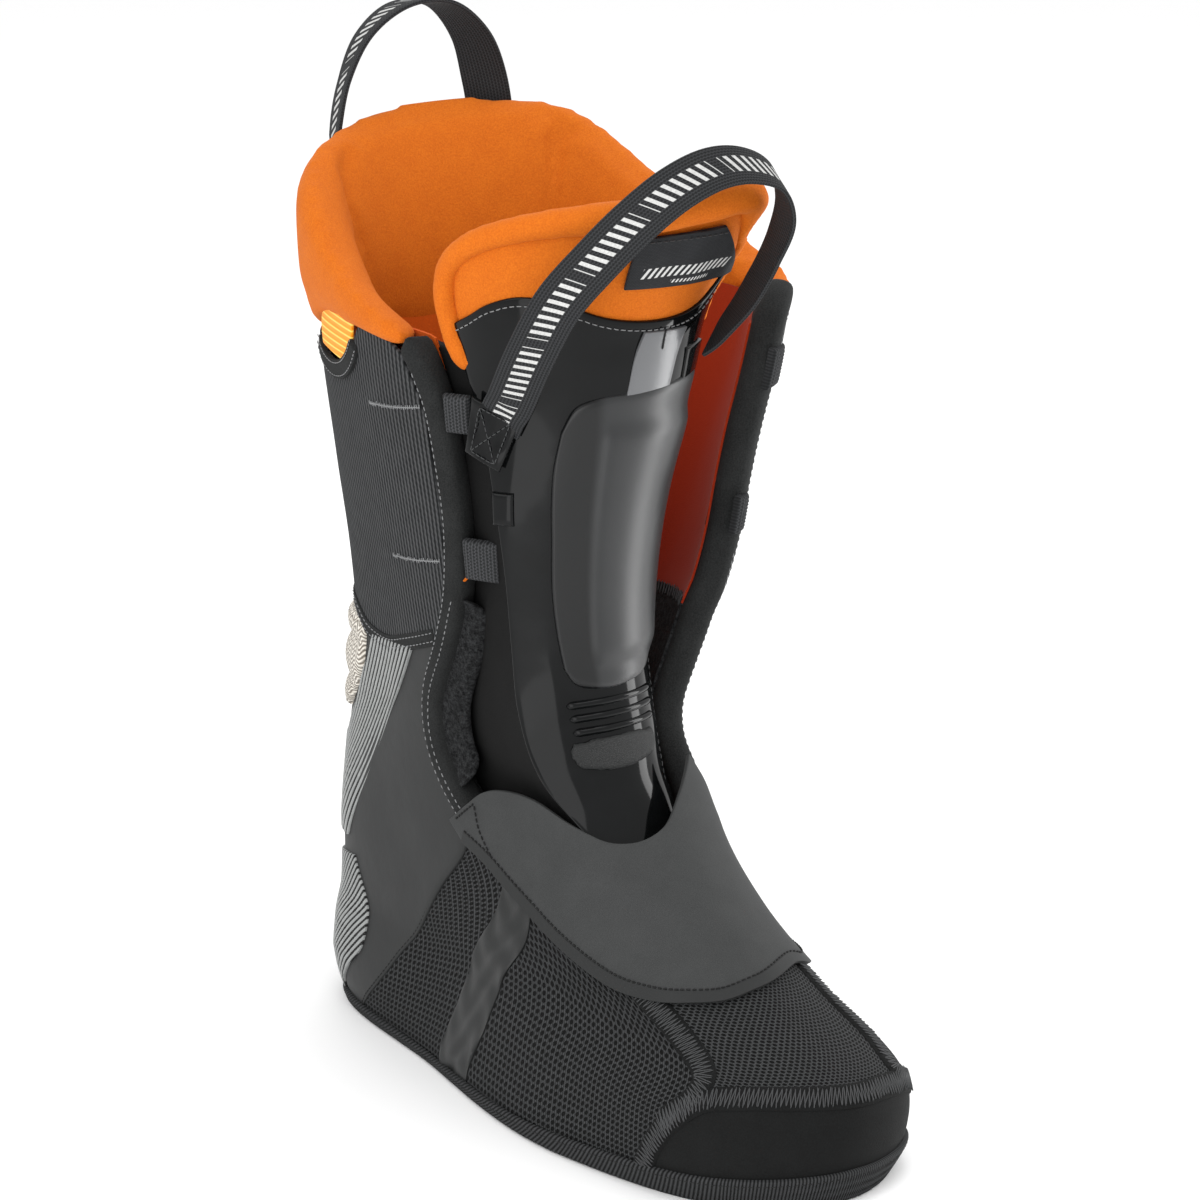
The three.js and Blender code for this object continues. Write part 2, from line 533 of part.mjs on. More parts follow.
// Stitched ends of the rear pull, flat on the back of the collar.
const REAR_ANCHOR = { inner: 8.3, outer: 10.3, width: 0.038, low: 288, high: 308 };
for (const [side, turn] of [['lateral', 0.055], ['medial', -0.055]]) {
  const patch = (u, v) => [turn + (u - 0.5) * REAR_ANCHOR.width,
    lerp(REAR_ANCHOR.low, REAR_ANCHOR.high, v)];
  addPatch(`rear_pull_anchor_${side}`, patch, 2, 2, REAR_ANCHOR, 'webbing');
}
add('rear_pull_strap', strap(rearPull, STRAP, 22), 'webbing');

// Folded webbing loops that stand off the flap edges.
const LACE_LOOPS = [
  ['lace_loop_lateral_upper', 0.3285, 257, 0.013, 1],
  ['lace_loop_lateral_lower', 0.332, 202, 0.022, 1],
  ['lace_loop_medial_upper', -0.411, 265, 0.013, -1],
  ['lace_loop_medial_lower', -0.413, 210, 0.013, -1],
];
for (const [name, turn, z, reach, sign] of LACE_LOOPS) {
  const { half } = LACE_LOOP;
  const left = sign > 0 ? turn : turn - reach;
  const area = (u, v) => [left + reach * u, lerp(z - half, z + half, v)];
  addPatch(name, area, 2, 3, LACE_LOOP.depth, 'webbing');
}

export default object;
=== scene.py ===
# Inner boot of an alpine ski boot, right foot: padded foot, knitted cuff with two opening
# flaps, soft collar, hinged tongue and webbing pulls.
# Sizes are millimetres until a mesh is made. +Z is up, the toe points to -Y, -X is outer.
import math
from functools import partial

import bmesh
import bpy
import numpy as np
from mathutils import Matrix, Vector


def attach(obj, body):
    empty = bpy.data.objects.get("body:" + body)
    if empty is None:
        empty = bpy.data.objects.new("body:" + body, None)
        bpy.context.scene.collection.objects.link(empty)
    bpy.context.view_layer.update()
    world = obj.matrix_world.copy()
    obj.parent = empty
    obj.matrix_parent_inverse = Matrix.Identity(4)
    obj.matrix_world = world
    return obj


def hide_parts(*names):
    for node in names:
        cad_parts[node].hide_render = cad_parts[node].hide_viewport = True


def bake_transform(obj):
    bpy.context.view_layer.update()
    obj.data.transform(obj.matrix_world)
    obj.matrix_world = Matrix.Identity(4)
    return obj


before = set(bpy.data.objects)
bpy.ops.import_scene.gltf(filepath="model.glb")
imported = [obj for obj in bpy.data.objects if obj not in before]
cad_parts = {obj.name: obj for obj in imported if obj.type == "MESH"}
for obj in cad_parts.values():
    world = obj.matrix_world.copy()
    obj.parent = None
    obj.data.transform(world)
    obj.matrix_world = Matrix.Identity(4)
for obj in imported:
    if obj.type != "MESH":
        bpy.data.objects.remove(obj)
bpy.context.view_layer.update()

MM = 0.001
TAU = 2 * math.pi

# ---------------------------------------------------------------- the skin, as in the CAD, and its leans

# z, back, front, half widths at heel, waist, ball and toe, bend, shift, flare
OUTLINES = np.array([
    (0, 80, -203, 33, 37, 45, 34, 12, 0, 0),
    (14, 86, -209, 36, 40, 48, 39, 12, 0, 0),
    (32, 89, -209, 38, 42, 49, 39, 12, 0, 0),
    (44, 88, -200, 38, 42, 46, 34, 11, 0, 0),
    (58, 86, -176, 38, 42, 41, 28, 8, 0, 0),
    (78, 82, -146, 37, 41, 38, 24, 4, 0, 0),
    (102, 77, -118, 36, 41, 37, 24, 1, 0, 0),
    (134, 70, -93, 35, 43, 40, 25, 0, 0, 5),
    (170, 62, -82, 36, 47, 46, 28, 0, 1, 17),
    (220, 60, -84, 43, 58, 57, 33, 0, 4, 22),
    (275, 66, -92, 51, 70, 70, 40, 0, 8, 24),
    (335, 76, -104, 56, 76, 76, 44, 0, 10, 24),
    (365, 80, -108, 57, 77, 77, 45, 0, 11, 24),
], float)
STATIONS = (0, 0.08, 0.38, 0.7, 0.93, 1)
BALL_FLARE, BEND_START = 0.6, 0.45
# How far the cloth leans off the CAD's skin: turn, spread, way, then heights and millimetres.
HEEL_LEAN = [(20, 0), (30, 1.9), (45, 4.2), (60, 4.8), (75, 3.7), (100, 3.7), (130, 3.9),
             (150, 3.2), (170, 1.2), (190, 0)]
LEANS = (
    (0.61, 0.085, (-1, 0), [(105, 0), (118, 1.5), (130, 5.5), (140, 6.5), (150, 5.5), (170, 4.2),
                            (182, 1.5), (200, 1), (220, 2.8), (240, 4.6), (260, 5.7), (280, 7.6),
                            (295, 9)]),
    (0.10, 0.07, (0.84, -0.54), HEEL_LEAN + [(220, -1.5), (255, -1.8), (272, -0.8), (284, 1.8),
                                          (298, 3.6), (313, 5), (330, 6.5), (345, 6.5)]),
    (0.245, 0.11, (-1, 0), [(0, 11), (10, 9.5), (20, 6), (32, 2.5), (44, 0)]),
    (0.90, 0.07, (-0.84, -0.54), HEEL_LEAN),
)
# z, centre x and y, radius, turn and half angle in degrees
TONGUE = np.array([
    (80, -8, -94, 30, 0, 40),
    (100, -8, -77, 31, 0, 44),
    (122, -9, -62, 33, 0, 52),
    (148, -10, -51, 35, -1, 58),
    (180, -12, -46, 37, -3, 62),
    (220, -11, -45, 41, -6, 64),
    (262, -5, -47, 46, -12, 64),
    (300, -1, -47, 55, -18, 62),
    (334, 19, -33, 81, -17, 48),
], float)
TURN_LENGTH = 550
TONGUE_LENGTH = 52


def hermite(t, a, slope_a, b, slope_b):
    """A cubic from a to b with these slopes, at shares t."""
    return ((2 * t**3 - 3 * t**2 + 1) * a + (t**3 - 2 * t**2 + t) * slope_a
            + (3 * t**2 - 2 * t**3) * b + (t**3 - t**2) * slope_b)


def through(t, a, b, c, d):
    """The stretch from b to c of a rounded curve through four points."""
    s = [np.maximum(np.linalg.norm(q - p, axis=-1, keepdims=True), 1e-9) ** 0.5
         for p, q in ((a, b), (b, c), (c, d))]
    slope_b = s[1] * ((b - a) / s[0] - (c - a) / (s[0] + s[1]) + (c - b) / s[1])
    slope_c = s[1] * ((c - b) / s[1] - (d - b) / (s[1] + s[2]) + (d - c) / s[2])
    return hermite(t, b, slope_b, c, slope_c)


def rows_at(rows, z):
    """Rows of a table at heights z, by a cubic with slopes from the neighbouring rows."""
    heights = rows[:, 0]
    last = len(rows) - 1
    i = np.clip(np.searchsorted(heights, z, side="left") - 1, 0, last - 1)
    span = (heights[i + 1] - heights[i])[:, None]
    t = np.clip((z[:, None] - heights[i][:, None]) / span, 0, 1)
    low, high = np.maximum(np.arange(last + 1) - 1, 0), np.minimum(np.arange(last + 1) + 1, last)
    slope = (rows[high] - rows[low]) / (heights[high] - heights[low])[:, None]
    return hermite(t, rows[i], span * slope[i], rows[i + 1], span * slope[i + 1])


def skin_point(turn, z):
    """Points of the skin at a turn (0 heel, .25 outer side, .5 toe, .75 inner side)."""
    turn, z = np.broadcast_arrays(np.asarray(turn, float), np.asarray(z, float))
    shape = turn.shape
    turn, z = turn.ravel() % 1 * 10, z.ravel()
    row = rows_at(OUTLINES, z)
    back, front, bend, shift, flare = (row[:, k] for k in (1, 2, 7, 8, 9))
    half = np.column_stack([0 * z, row[:, 3:7], 0 * z])
    controls = np.empty((len(z), 10, 2))
    for k, station in enumerate(STATIONS):
        middle = shift + bend * min(max((station - BEND_START) / (1 - BEND_START), 0), 1) ** 1.6
        along = back + (front - back) * station
        extra = flare * {3: BALL_FLARE, 4: 1}.get(k, 0)
        controls[:, k] = np.column_stack([middle - half[:, k], along])
        if 0 < k < 5:
            controls[:, 10 - k] = np.column_stack([middle + half[:, k] + extra, along])
    i = turn.astype(int) % 10
    t = (turn - np.floor(turn))[:, None]
    n = np.arange(len(z))
    xy = through(t, *(controls[n, (i + k) % 10] for k in (-1, 0, 1, 2)))
    for place, spread, way, rows in LEANS:
        away = (turn / 10 - place + 0.5) % 1 - 0.5
        size = rows_at(np.array(rows, float), z)[:, 1] * np.exp(-((away / spread) ** 2))
        xy += size[:, None] * np.array(way)
    return np.column_stack([xy, z]).reshape(*shape, 3)


def tongue_point(across, z):
    """Points of the tongue's face, across from -1 on the outer side to 1."""
    across, z = np.broadcast_arrays(np.asarray(across, float), np.asarray(z, float))
    shape = across.shape
    row = rows_at(TONGUE, z.ravel())
    angle = np.radians(row[:, 4] + across.ravel() * row[:, 5])
    x = row[:, 1] + row[:, 3] * np.sin(angle)
    y = row[:, 2] - row[:, 3] * np.cos(angle)
    return np.column_stack([x, y, z.ravel()]).reshape(*shape, 3)


def unit(v):
    return v / np.maximum(np.linalg.norm(v, axis=-1, keepdims=True), 1e-12)


def lifted(surface):
    """The surface with a depth: points pushed out along its own normal."""
    def at(u, z, depth):
        along = surface(u + 0.004, z) - surface(u - 0.004, z)
        up = surface(u, z + 1) - surface(u, z - 1)
        return surface(u, z) + unit(np.cross(along, up)) * np.asarray(depth, float)[..., None]
    return at


skin = lifted(skin_point)
tongue = lifted(tongue_point)


def catmull(points, per=16, closed=False):
    """A rounded curve through the points."""
    p = np.asarray(points, float)
    if closed:
        p = np.vstack([p[-1], p, p[0], p[1]])
    else:
        p = np.vstack([2 * p[0] - p[1], p, 2 * p[-1] - p[-2]])
    t = np.linspace(0, 1, per, endpoint=False)[:, None]
    out = [through(t, *four) for four in zip(p, p[1:], p[2:], p[3:])]
    if not closed:
        out.append(p[-2][None])
    return np.vstack(out)


def reach_of(points):
    return np.concatenate([[0], np.cumsum(np.linalg.norm(np.diff(points, axis=0), axis=1))])


class Line:
    """A line on a surface through [turn, height] stops, as a function of 0..1 by length."""

    def __init__(self, stops, scale=TURN_LENGTH, sharp=False):
        p = np.array(stops, float) * (scale, 1)
        self.fine = p if sharp else catmull(p)
        self.reach = reach_of(self.fine)
        self.scale = scale

    def __call__(self, t):
        s = np.asarray(t, float) * self.reach[-1]
        return (np.interp(s, self.reach, self.fine[:, 0]) / self.scale,
                np.interp(s, self.reach, self.fine[:, 1]))


def negative(stops):
    return [(-turn, z) for turn, z in stops]


def joined(*parts):
    """Several lines end to end, each with its own rounding, so that corners stay sharp."""
    whole = Line(parts[0])
    whole.fine = np.vstack([Line(p).fine if len(p) > 2 else np.array(p, float) * (TURN_LENGTH, 1)
                            for p in parts])
    keep = np.concatenate([[True], np.linalg.norm(np.diff(whole.fine, axis=0), axis=1) > 1e-6])
    whole.fine = whole.fine[keep]
    whole.reach = reach_of(whole.fine)
    return whole


def as_line(line, surface=None):
    """Stops as a Line; those on the tongue are stretched by the tongue's own width."""
    if callable(line):
        return line
    return Line(line, TONGUE_LENGTH if surface is tongue else TURN_LENGTH)


def between(left, right):
    a, b = as_line(left), as_line(right)
    return lambda u, v: tuple(p + (q - p) * u for p, q in zip(a(v), b(v)))


def stacked(bottom, top):
    a, b = as_line(bottom), as_line(top)
    return lambda u, v: tuple(p + (q - p) * v for p, q in zip(a(u), b(u)))


def sided(sign, back, front):
    """The patch from a line nearer the heel to one nearer the toe, on either side."""
    if sign > 0:
        return between(back, front)
    return between(negative(front), negative(back))


# ---------------------------------------------------------------- meshes

def make(name, points, faces, material, uv=None, sharp=50):
    mesh = bpy.data.meshes.new(name)
    mesh.from_pydata((np.asarray(points) * MM).tolist(), [], faces)
    mesh.polygons.foreach_set("use_smooth", np.ones(len(mesh.polygons), bool))
    if uv is not None:
        index = np.empty(len(mesh.loops), int)
        mesh.loops.foreach_get("vertex_index", index)
        mesh.uv_layers.new(name="weave").data.foreach_set("uv", uv[index].ravel())
    if volume_of(mesh) < 0:
        mesh.flip_normals()
    if sharp:
        mesh.set_sharp_from_angle(angle=math.radians(sharp))
    piece = bpy.data.objects.new(name, mesh)
    bpy.context.scene.collection.objects.link(piece)
    mesh.materials.append(material)
    return piece


def volume_of(mesh):
    """Six times the volume a mesh holds, below zero when its faces point in."""
    mesh.calc_loop_triangles()
    corners = np.empty(3 * len(mesh.loop_triangles), int)
    mesh.loop_triangles.foreach_get("vertices", corners)
    co = np.empty(3 * len(mesh.vertices))
    mesh.vertices.foreach_get("co", co)
    a, b, c = co.reshape(-1, 3)[corners.reshape(-1, 3)].transpose(1, 0, 2)
    return float(np.einsum("ij,ij->", a, np.cross(b, c)))


ROUND_STEPS = 3


def shares(length, radius, count):
    """Shares 0..1 of a length, with extra places where each end is rounded off."""
    length = np.asarray(length, float)[..., None]
    bend = radius * (1 - np.cos(np.linspace(0, math.pi / 2, ROUND_STEPS + 1)[:-1]))
    start = bend / length
    middle = radius / length + (1 - 2 * radius / length) * np.linspace(0, 1, count + 1)
    return np.concatenate([start, middle, 1 - start[..., ::-1]], axis=-1)


def wall(name, area, outer, thick, material, pitch=(2.5, 2.5), surface=skin, radius=0.6,
         plain="", relief=None, weave="grid", lay=None):
    """A closed shell on a surface with rounded borders.

    plain names the borders that stay square: l, r, b and t. relief(turn, z, x, y) raises the
    outer face, where x and y are millimetres from the patch's left and bottom.
    weave is grid, where the pattern follows the patch, or skin, where it stays upright.
    lay(turn, z, x, width) gives another place across the pattern, for relief and weave."""
    test = np.linspace(0, 1, 13)
    uu, vv = np.meshgrid(test, test)
    p = surface(*area(uu, vv), outer + 0 * uu)
    width = np.linalg.norm(np.diff(p, axis=1), axis=2).sum(1)
    height = np.linalg.norm(np.diff(p, axis=0), axis=2).sum(0)
    radius = min(radius, 0.9 * thick)
    least = 2.5 * radius
    columns = max(2, int(round(width.max() / pitch[0])))
    rows = max(2, int(round(height.max() / pitch[1])))
    u0 = shares(max(width.mean(), least), radius, columns)
    v0 = shares(max(height.mean(), least), radius, rows)
    wide = np.maximum(np.interp(v0, test, width), least)
    high = np.maximum(np.interp(u0, test, height), least)
    u = shares(wide, radius, columns)
    v = shares(high, radius, rows).T
    x, y = u * wide[:, None], v * high[None, :]
    edge = np.full(u.shape, 1e3)
    for side, away in zip("lrbt", (x, wide[:, None] - x, y, high[None, :] - y)):
        if side not in plain:
            edge = np.minimum(edge, away)
    near = np.clip(edge, 0, radius)
    drop = radius - np.sqrt(np.maximum(radius**2 - (radius - near) ** 2, 0))
    turn, z = area(u, v)
    if lay is not None:
        x = lay(turn, z, x, wide[:, None])
        wide = 0 * wide
    height = 0 * u
    if relief is not None:
        height = relief(turn, z, x, y) * np.clip(edge / max(1.5 * radius, 0.4), 0, 1)
    top = surface(turn, z, outer + height - drop)
    bottom = surface(turn, z, outer - thick + 0 * u)
    return closed_grid(name, top, bottom, material, weave_of(weave, turn, z, x, y, wide))


def weave_of(weave, turn, z, x, y, wide):
    if weave == "skin":
        return np.stack([turn * TURN_LENGTH, z], -1)
    if weave == "tongue":
        return np.stack([turn * TONGUE_LENGTH, z], -1)
    return np.stack([x - wide[:, None] / 2, y], -1)


def closed_grid(name, top, bottom, material, uv):
    rows, columns = top.shape[:2]
    n = rows * columns
    index = np.arange(n).reshape(rows, columns)
    a, b, c, d = (index[:-1, :-1].ravel(), index[:-1, 1:].ravel(), index[1:, 1:].ravel(),
                  index[1:, :-1].ravel())
    faces = [np.column_stack([a, b, c, d]), np.column_stack([d, c, b, a]) + n]
    rim = np.concatenate([index[0, :-1], index[:-1, -1], index[-1, :0:-1], index[:0:-1, 0]])
    following = np.roll(rim, -1)
    faces.append(np.column_stack([rim, rim + n, following + n, following]))
    points = np.vstack([top.reshape(-1, 3), bottom.reshape(-1, 3)])
    both = np.vstack([uv.reshape(-1, 2)] * 2)
    return make(name, points, np.vstack(faces).tolist(), material, both)


def swept(name, rings, material, uv=None, loop=False, sharp=50):
    """A skin over closed rings of points, capped at both ends unless it loops."""
    rings = np.asarray(rings)
    steps, sides = rings.shape[:2]
    index = np.arange(steps * sides).reshape(steps, sides)
    following = np.roll(index, -1, axis=1)
    last = steps if loop else steps - 1
    ahead = np.roll(index, -1, axis=0), np.roll(following, -1, axis=0)
    faces = np.stack([index, following, ahead[1], ahead[0]], -1)[:last].reshape(-1, 4).tolist()
    if not loop:
        faces += [index[0, ::-1].tolist(), index[-1].tolist()]
    if uv is not None:
        uv = uv.reshape(-1, 2)
    return make(name, rings.reshape(-1, 3), faces, material, uv, sharp)


def route(line, depth=0.0, surface=skin, offset=0.0, pitch=1.5):
    """Points, normals and sideways directions along a line on a surface."""
    line = as_line(line, surface)
    t = np.linspace(0, 1, 400)
    p = surface(*line(t), depth + 0 * t)
    reach = reach_of(p)
    count = max(3, int(round(reach[-1] / pitch)) + 1)
    t = np.interp(np.linspace(0, reach[-1], count), reach, t)
    turn, z = line(t)
    p = surface(turn, z, depth + 0 * t)
    normal = unit(surface(turn, z, depth + 1 + 0 * t) - p)
    ahead = unit(np.gradient(p, axis=0))
    side = unit(np.cross(normal, ahead))
    return p + side * offset, normal, side


def trim(name, line, section, material, depth=0.0, surface=skin, offset=0.0, pitch=2.0,
         rounded=True, ends=0.0, scale=None):
    """A section of [sideways, outwards] points swept along a line on a surface."""
    p, normal, side = route(line, depth, surface, offset, pitch)
    section = np.array(section, float)
    if rounded:
        section = catmull(section, 4, closed=True)
    size = np.ones(len(p))
    reach = reach_of(p)
    if ends:
        away = np.minimum(reach, reach[-1] - reach).clip(0, ends) / ends
        size = np.sqrt(np.maximum(1 - (1 - away) ** 2, 0.02))
    if scale is not None:
        size = size * scale(reach / reach[-1])
    rings = (p[:, None] + side[:, None] * section[None, :, :1] * size[:, None, None]
             + normal[:, None] * section[None, :, 1:] * size[:, None, None])
    around = reach_of(np.vstack([section, section[:1]]))[:-1]
    uv = np.stack(np.broadcast_arrays(around[None], reach[:, None]), -1)
    return swept(name, rings, material, uv)


def ribbon(name, stops, width, thick, material, per=10):
    """A strap through (at, face) stops, with rounded edges. Its weave is centred on the face."""
    path = catmull([at for at, _ in stops], per)
    face = unit(catmull([way for _, way in stops], per))
    ahead = unit(np.gradient(path, axis=0))
    side = unit(np.cross(ahead, face))
    face = unit(np.cross(side, ahead))
    w, h = width / 2, thick / 2
    edge = [(w - h + h * math.cos(a), h * math.sin(a)) for a in np.linspace(-math.pi / 2, math.pi / 2, 7)]
    inner = np.linspace(w - h, h - w, 11)[1:-1]
    section = edge + [(x, h) for x in inner] + [(-x, -y) for x, y in edge] + [(-x, -h) for x in inner]
    section = np.array(section + section[:1])
    around = reach_of(section)
    around -= around[6] + w - h
    rings = path[:, None] + side[:, None] * section[None, :, :1] + face[:, None] * section[None, :, 1:]
    reach = reach_of(path)
    uv = np.stack(np.broadcast_arrays(around[None], reach[:, None]), -1)
    return swept(name, rings[:, ::-1], material, uv[:, ::-1])


CAPSULE = np.array([(x, r * math.cos(a), r * math.sin(a)) for x, r in ((-0.5, 0.3), (-0.42, 0.85), (0, 1),
    (0.42, 0.85), (0.5, 0.3)) for a in np.linspace(0, TAU, 6, endpoint=False)])
CAPSULE_FACES = ([[6 * k + j, 6 * k + (j + 1) % 6, 6 * k + 6 + (j + 1) % 6, 6 * k + 6 + j]
                  for k in range(4) for j in range(6)] + [[5, 4, 3, 2, 1, 0], [24, 25, 26, 27, 28, 29]])


def threads(name, centres, along, normals, length, radius, material):
    """Short lengths of thread, one at each centre."""
    along, normals = unit(along), unit(normals)
    side = np.cross(normals, along)
    length = np.broadcast_to(length, len(centres))[:, None, None]
    arch = (0.25 - CAPSULE[:, 0] ** 2) * 1.2 * radius
    p = (centres[:, None] + along[:, None] * CAPSULE[None, :, :1] * length + side[:, None] * CAPSULE[None,
        :, 1:2] * radius + normals[:, None] * (CAPSULE[None, :, 2:] * radius + arch[None, :, None]))
    faces = (np.array(CAPSULE_FACES[:24])[None] + 30 * np.arange(len(centres))[:, None, None])
    faces = faces.reshape(-1, 4).tolist()
    for k in range(len(centres)):
        faces += [[i + 30 * k for i in face] for face in CAPSULE_FACES[24:]]
    return make(name, p.reshape(-1, 3), faces, material, sharp=0)


def stitches(name, line, material, depth=0.0, surface=skin, offset=0.0, pitch=2.9, length=2.0,
             radius=0.3):
    """A row of dashes along a line."""
    p, normal, _ = route(line, depth, surface, offset, pitch)
    middle = (p[1:] + p[:-1]) / 2
    jitter = np.random.default_rng(len(p)).normal(0, 0.05, middle.shape)
    along = unit(p[1:] - p[:-1]) + jitter
    return threads(name, middle, along, normal[1:], length, radius, material)


def overlock(name, line, material, depth=0.0, half=4.2, pitch=1.15, radius=0.32, surface=skin):
    """Slanted threads that cross a seam from side to side."""
    p, normal, side = route(line, depth, surface, 0, pitch)
    ahead = unit(np.gradient(p, axis=0))
    rng = np.random.default_rng(len(p))
    slant = np.where(np.arange(len(p)) % 2, 0.34, 0.1) + rng.normal(0, 0.05, len(p))
    length = 2 * half * rng.uniform(0.86, 1.05, len(p))
    centres = p + side * rng.normal(0, 0.25, (len(p), 1))
    return threads(name, centres, side + ahead * slant[:, None], normal, length, radius, material)


def puffed(piece, voxel, cap, pressure=4.0, weight=None):
    """Swells a closed piece as inflated cloth, then caps how far each point may move."""
    for other in bpy.context.selected_objects:
        other.select_set(False)
    bpy.context.view_layer.objects.active = piece
    remesh = piece.modifiers.new("remesh", "REMESH")
    remesh.mode = "VOXEL"
    remesh.voxel_size = voxel * MM
    remesh.use_smooth_shade = True
    with bpy.context.temp_override(object=piece, active_object=piece):
        bpy.ops.object.modifier_apply(modifier="remesh")
    before = points_of(piece)
    cloth = piece.modifiers.new("cloth", "CLOTH")
    cloth.settings.use_pressure = True
    cloth.settings.uniform_pressure_force = pressure
    cloth.settings.effector_weights.gravity = 0
    cloth.settings.quality = 5
    cloth.point_cache.frame_start, cloth.point_cache.frame_end = 1, 20
    scene = bpy.context.scene
    for step in range(1, 21):
        scene.frame_set(step)
    evaluated = piece.evaluated_get(bpy.context.evaluated_depsgraph_get())
    after = np.array([v.co for v in evaluated.data.vertices])
    piece.modifiers.remove(cloth)
    scene.frame_set(1)
    moved = after - before
    size = np.linalg.norm(moved, axis=1, keepdims=True)
    allowed = cap * MM * (1 if weight is None else weight(before / MM)[:, None])
    moved *= np.minimum(1, allowed / np.maximum(size, 1e-9))
    piece.data.vertices.foreach_set("co", (before + moved).ravel())
    subdivide = piece.modifiers.new("subdivide", "SUBSURF")
    subdivide.levels = 1
    with bpy.context.temp_override(object=piece, active_object=piece):
        bpy.ops.object.modifier_apply(modifier="subdivide")
    piece.data.polygons.foreach_set("use_smooth", np.ones(len(piece.data.polygons), bool))
    return piece


def points_of(piece):
    co = np.empty(3 * len(piece.data.vertices))
    piece.data.vertices.foreach_get("co", co)
    return co.reshape(-1, 3)


# ---------------------------------------------------------------- joints

def fold(body, point, way, half=14):
    """A blend across a fold line: the bend is spread over 2 x half millimetres."""
    point, way = np.array(point, float), unit(np.array(way, float))
    return ("root", body, tuple((point - way * half) * MM), tuple((point + way * half) * MM))


FOLDS = {
    "lateral": fold("lateral_flap", (-48.4, 13.8, 187), (0, -1, 0.3506)),
    "medial": fold("medial_flap", (54.8, -2.2, 187), (0, -1, 0.5688)),
    "tongue": fold("tongue", (-10, -87, 144), (0, 0, 1)),
}
SIDES = (("lateral", 1), ("medial", -1))


def settle(piece, on, slot, *stands_for):
    """Rides the piece on a body, or, where the body is one with a fold, bakes its place in and leaves it
    without a parent.
    """
    if on in FOLDS:
        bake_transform(piece)
    else:
        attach(piece, {"tongue_body": "tongue"}.get(on, on))
    if stands_for:
        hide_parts(*stands_for)
    return piece


# ---------------------------------------------------------------- materials

def rgb(code):
    """A #rrggbb colour in linear light."""
    parts = [int(code[i:i + 2], 16) / 255 for i in (1, 3, 5)]
    return (*[c / 12.92 if c <= 0.04045 else ((c + 0.055) / 1.055) ** 2.4 for c in parts], 1)


class Finish:
    """A material under construction. Coordinates are millimetres along the weave."""

    def __init__(self, name, colour, roughness, **fixed):
        self.material = bpy.data.materials.new(name)
        self.material.use_nodes = True
        self.tree = self.material.node_tree
        self.shader = self.tree.nodes["Principled BSDF"]
        self.shader.inputs["Base Color"].default_value = rgb(colour)
        self.shader.inputs["Roughness"].default_value = roughness
        for socket, value in fixed.items():
            self.shader.inputs[socket.replace("_", " ")].default_value = value
        self.height = None

    def node(self, kind, inputs=(), **properties):
        made = self.tree.nodes.new("ShaderNode" + kind)
        for key, value in properties.items():
            setattr(made, key, value)
        for key, value in dict(inputs).items():
            if isinstance(value, bpy.types.NodeSocket):
                self.tree.links.new(value, made.inputs[key])
            else:
                made.inputs[key].default_value = value
        return made

    def math(self, operation, a, b=0.0, c=0.0):
        return self.node("Math", {0: a, 1: b, 2: c}, operation=operation).outputs[0]

    def mixed(self, a, part_a, b, part_b):
        """Two heights added in these parts."""
        return self.math("MULTIPLY_ADD", a, part_a, self.math("MULTIPLY", b, part_b))

    def weave(self):
        """Sideways and lengthways millimetres of the cloth."""
        uv = self.node("UVMap", uv_map="weave").outputs[0]
        split = self.node("SeparateXYZ", {0: uv})
        return split.outputs[0], split.outputs[1]

    def place(self):
        """The place on the object, in millimetres."""
        at = self.node("TexCoord").outputs["Object"]
        return self.node("VectorMath", {0: at, "Scale": 1000.0}, operation="SCALE").outputs[0]

    def noise(self, size, detail=2.0, where=None, rough=0.5):
        """Noise from 0 to 1 with features of a size in millimetres."""
        where = self.place() if where is None else where
        return self.node("TexNoise", {"Vector": where, "Scale": 1 / size, "Detail": detail,
                                      "Roughness": rough}).outputs[0]

    def cells(self, size, feature="DISTANCE_TO_EDGE", where=None):
        where = self.place() if where is None else where
        return self.node("TexVoronoi", {"Vector": where, "Scale": 1 / size},
                         feature=feature).outputs["Distance"]

    def wave(self, along, pitch, shift=0.0):
        """0 to 1 and back in each pitch."""
        angle = self.math("MULTIPLY_ADD", along, TAU / pitch, shift)
        return self.math("MULTIPLY_ADD", self.math("COSINE", angle), 0.5, 0.5)

    def step(self, value, low, high):
        """0 below low, 1 above high."""
        return self.node("MapRange", {0: value, 1: low, 2: high},
                         interpolation_type="SMOOTHSTEP").outputs[0]

    def blend(self, share, low, high):
        """A colour between two, by a share."""
        made = self.node("Mix", {0: share}, data_type="RGBA", clamp_factor=True)
        for socket, value in ((made.inputs[6], low), (made.inputs[7], high)):
            if isinstance(value, bpy.types.NodeSocket):
                self.tree.links.new(value, socket)
            else:
                socket.default_value = rgb(value)
        return made.outputs[2]

    def colour(self, socket):
        self.tree.links.new(socket, self.shader.inputs["Base Color"])

    def roughness(self, share, low, high):
        value = self.node("MapRange", {0: share, 3: low, 4: high}).outputs[0]
        self.tree.links.new(value, self.shader.inputs["Roughness"])

    def bump(self, height, depth, strength=1.0):
        """Raises the surface by up to depth millimetres; further calls add to it."""
        inputs = {"Height": height, "Distance": depth * MM, "Strength": strength}
        if self.height is not None:
            inputs["Normal"] = self.height
        self.height = self.node("Bump", inputs).outputs[0]
        self.tree.links.new(self.height, self.shader.inputs["Normal"])


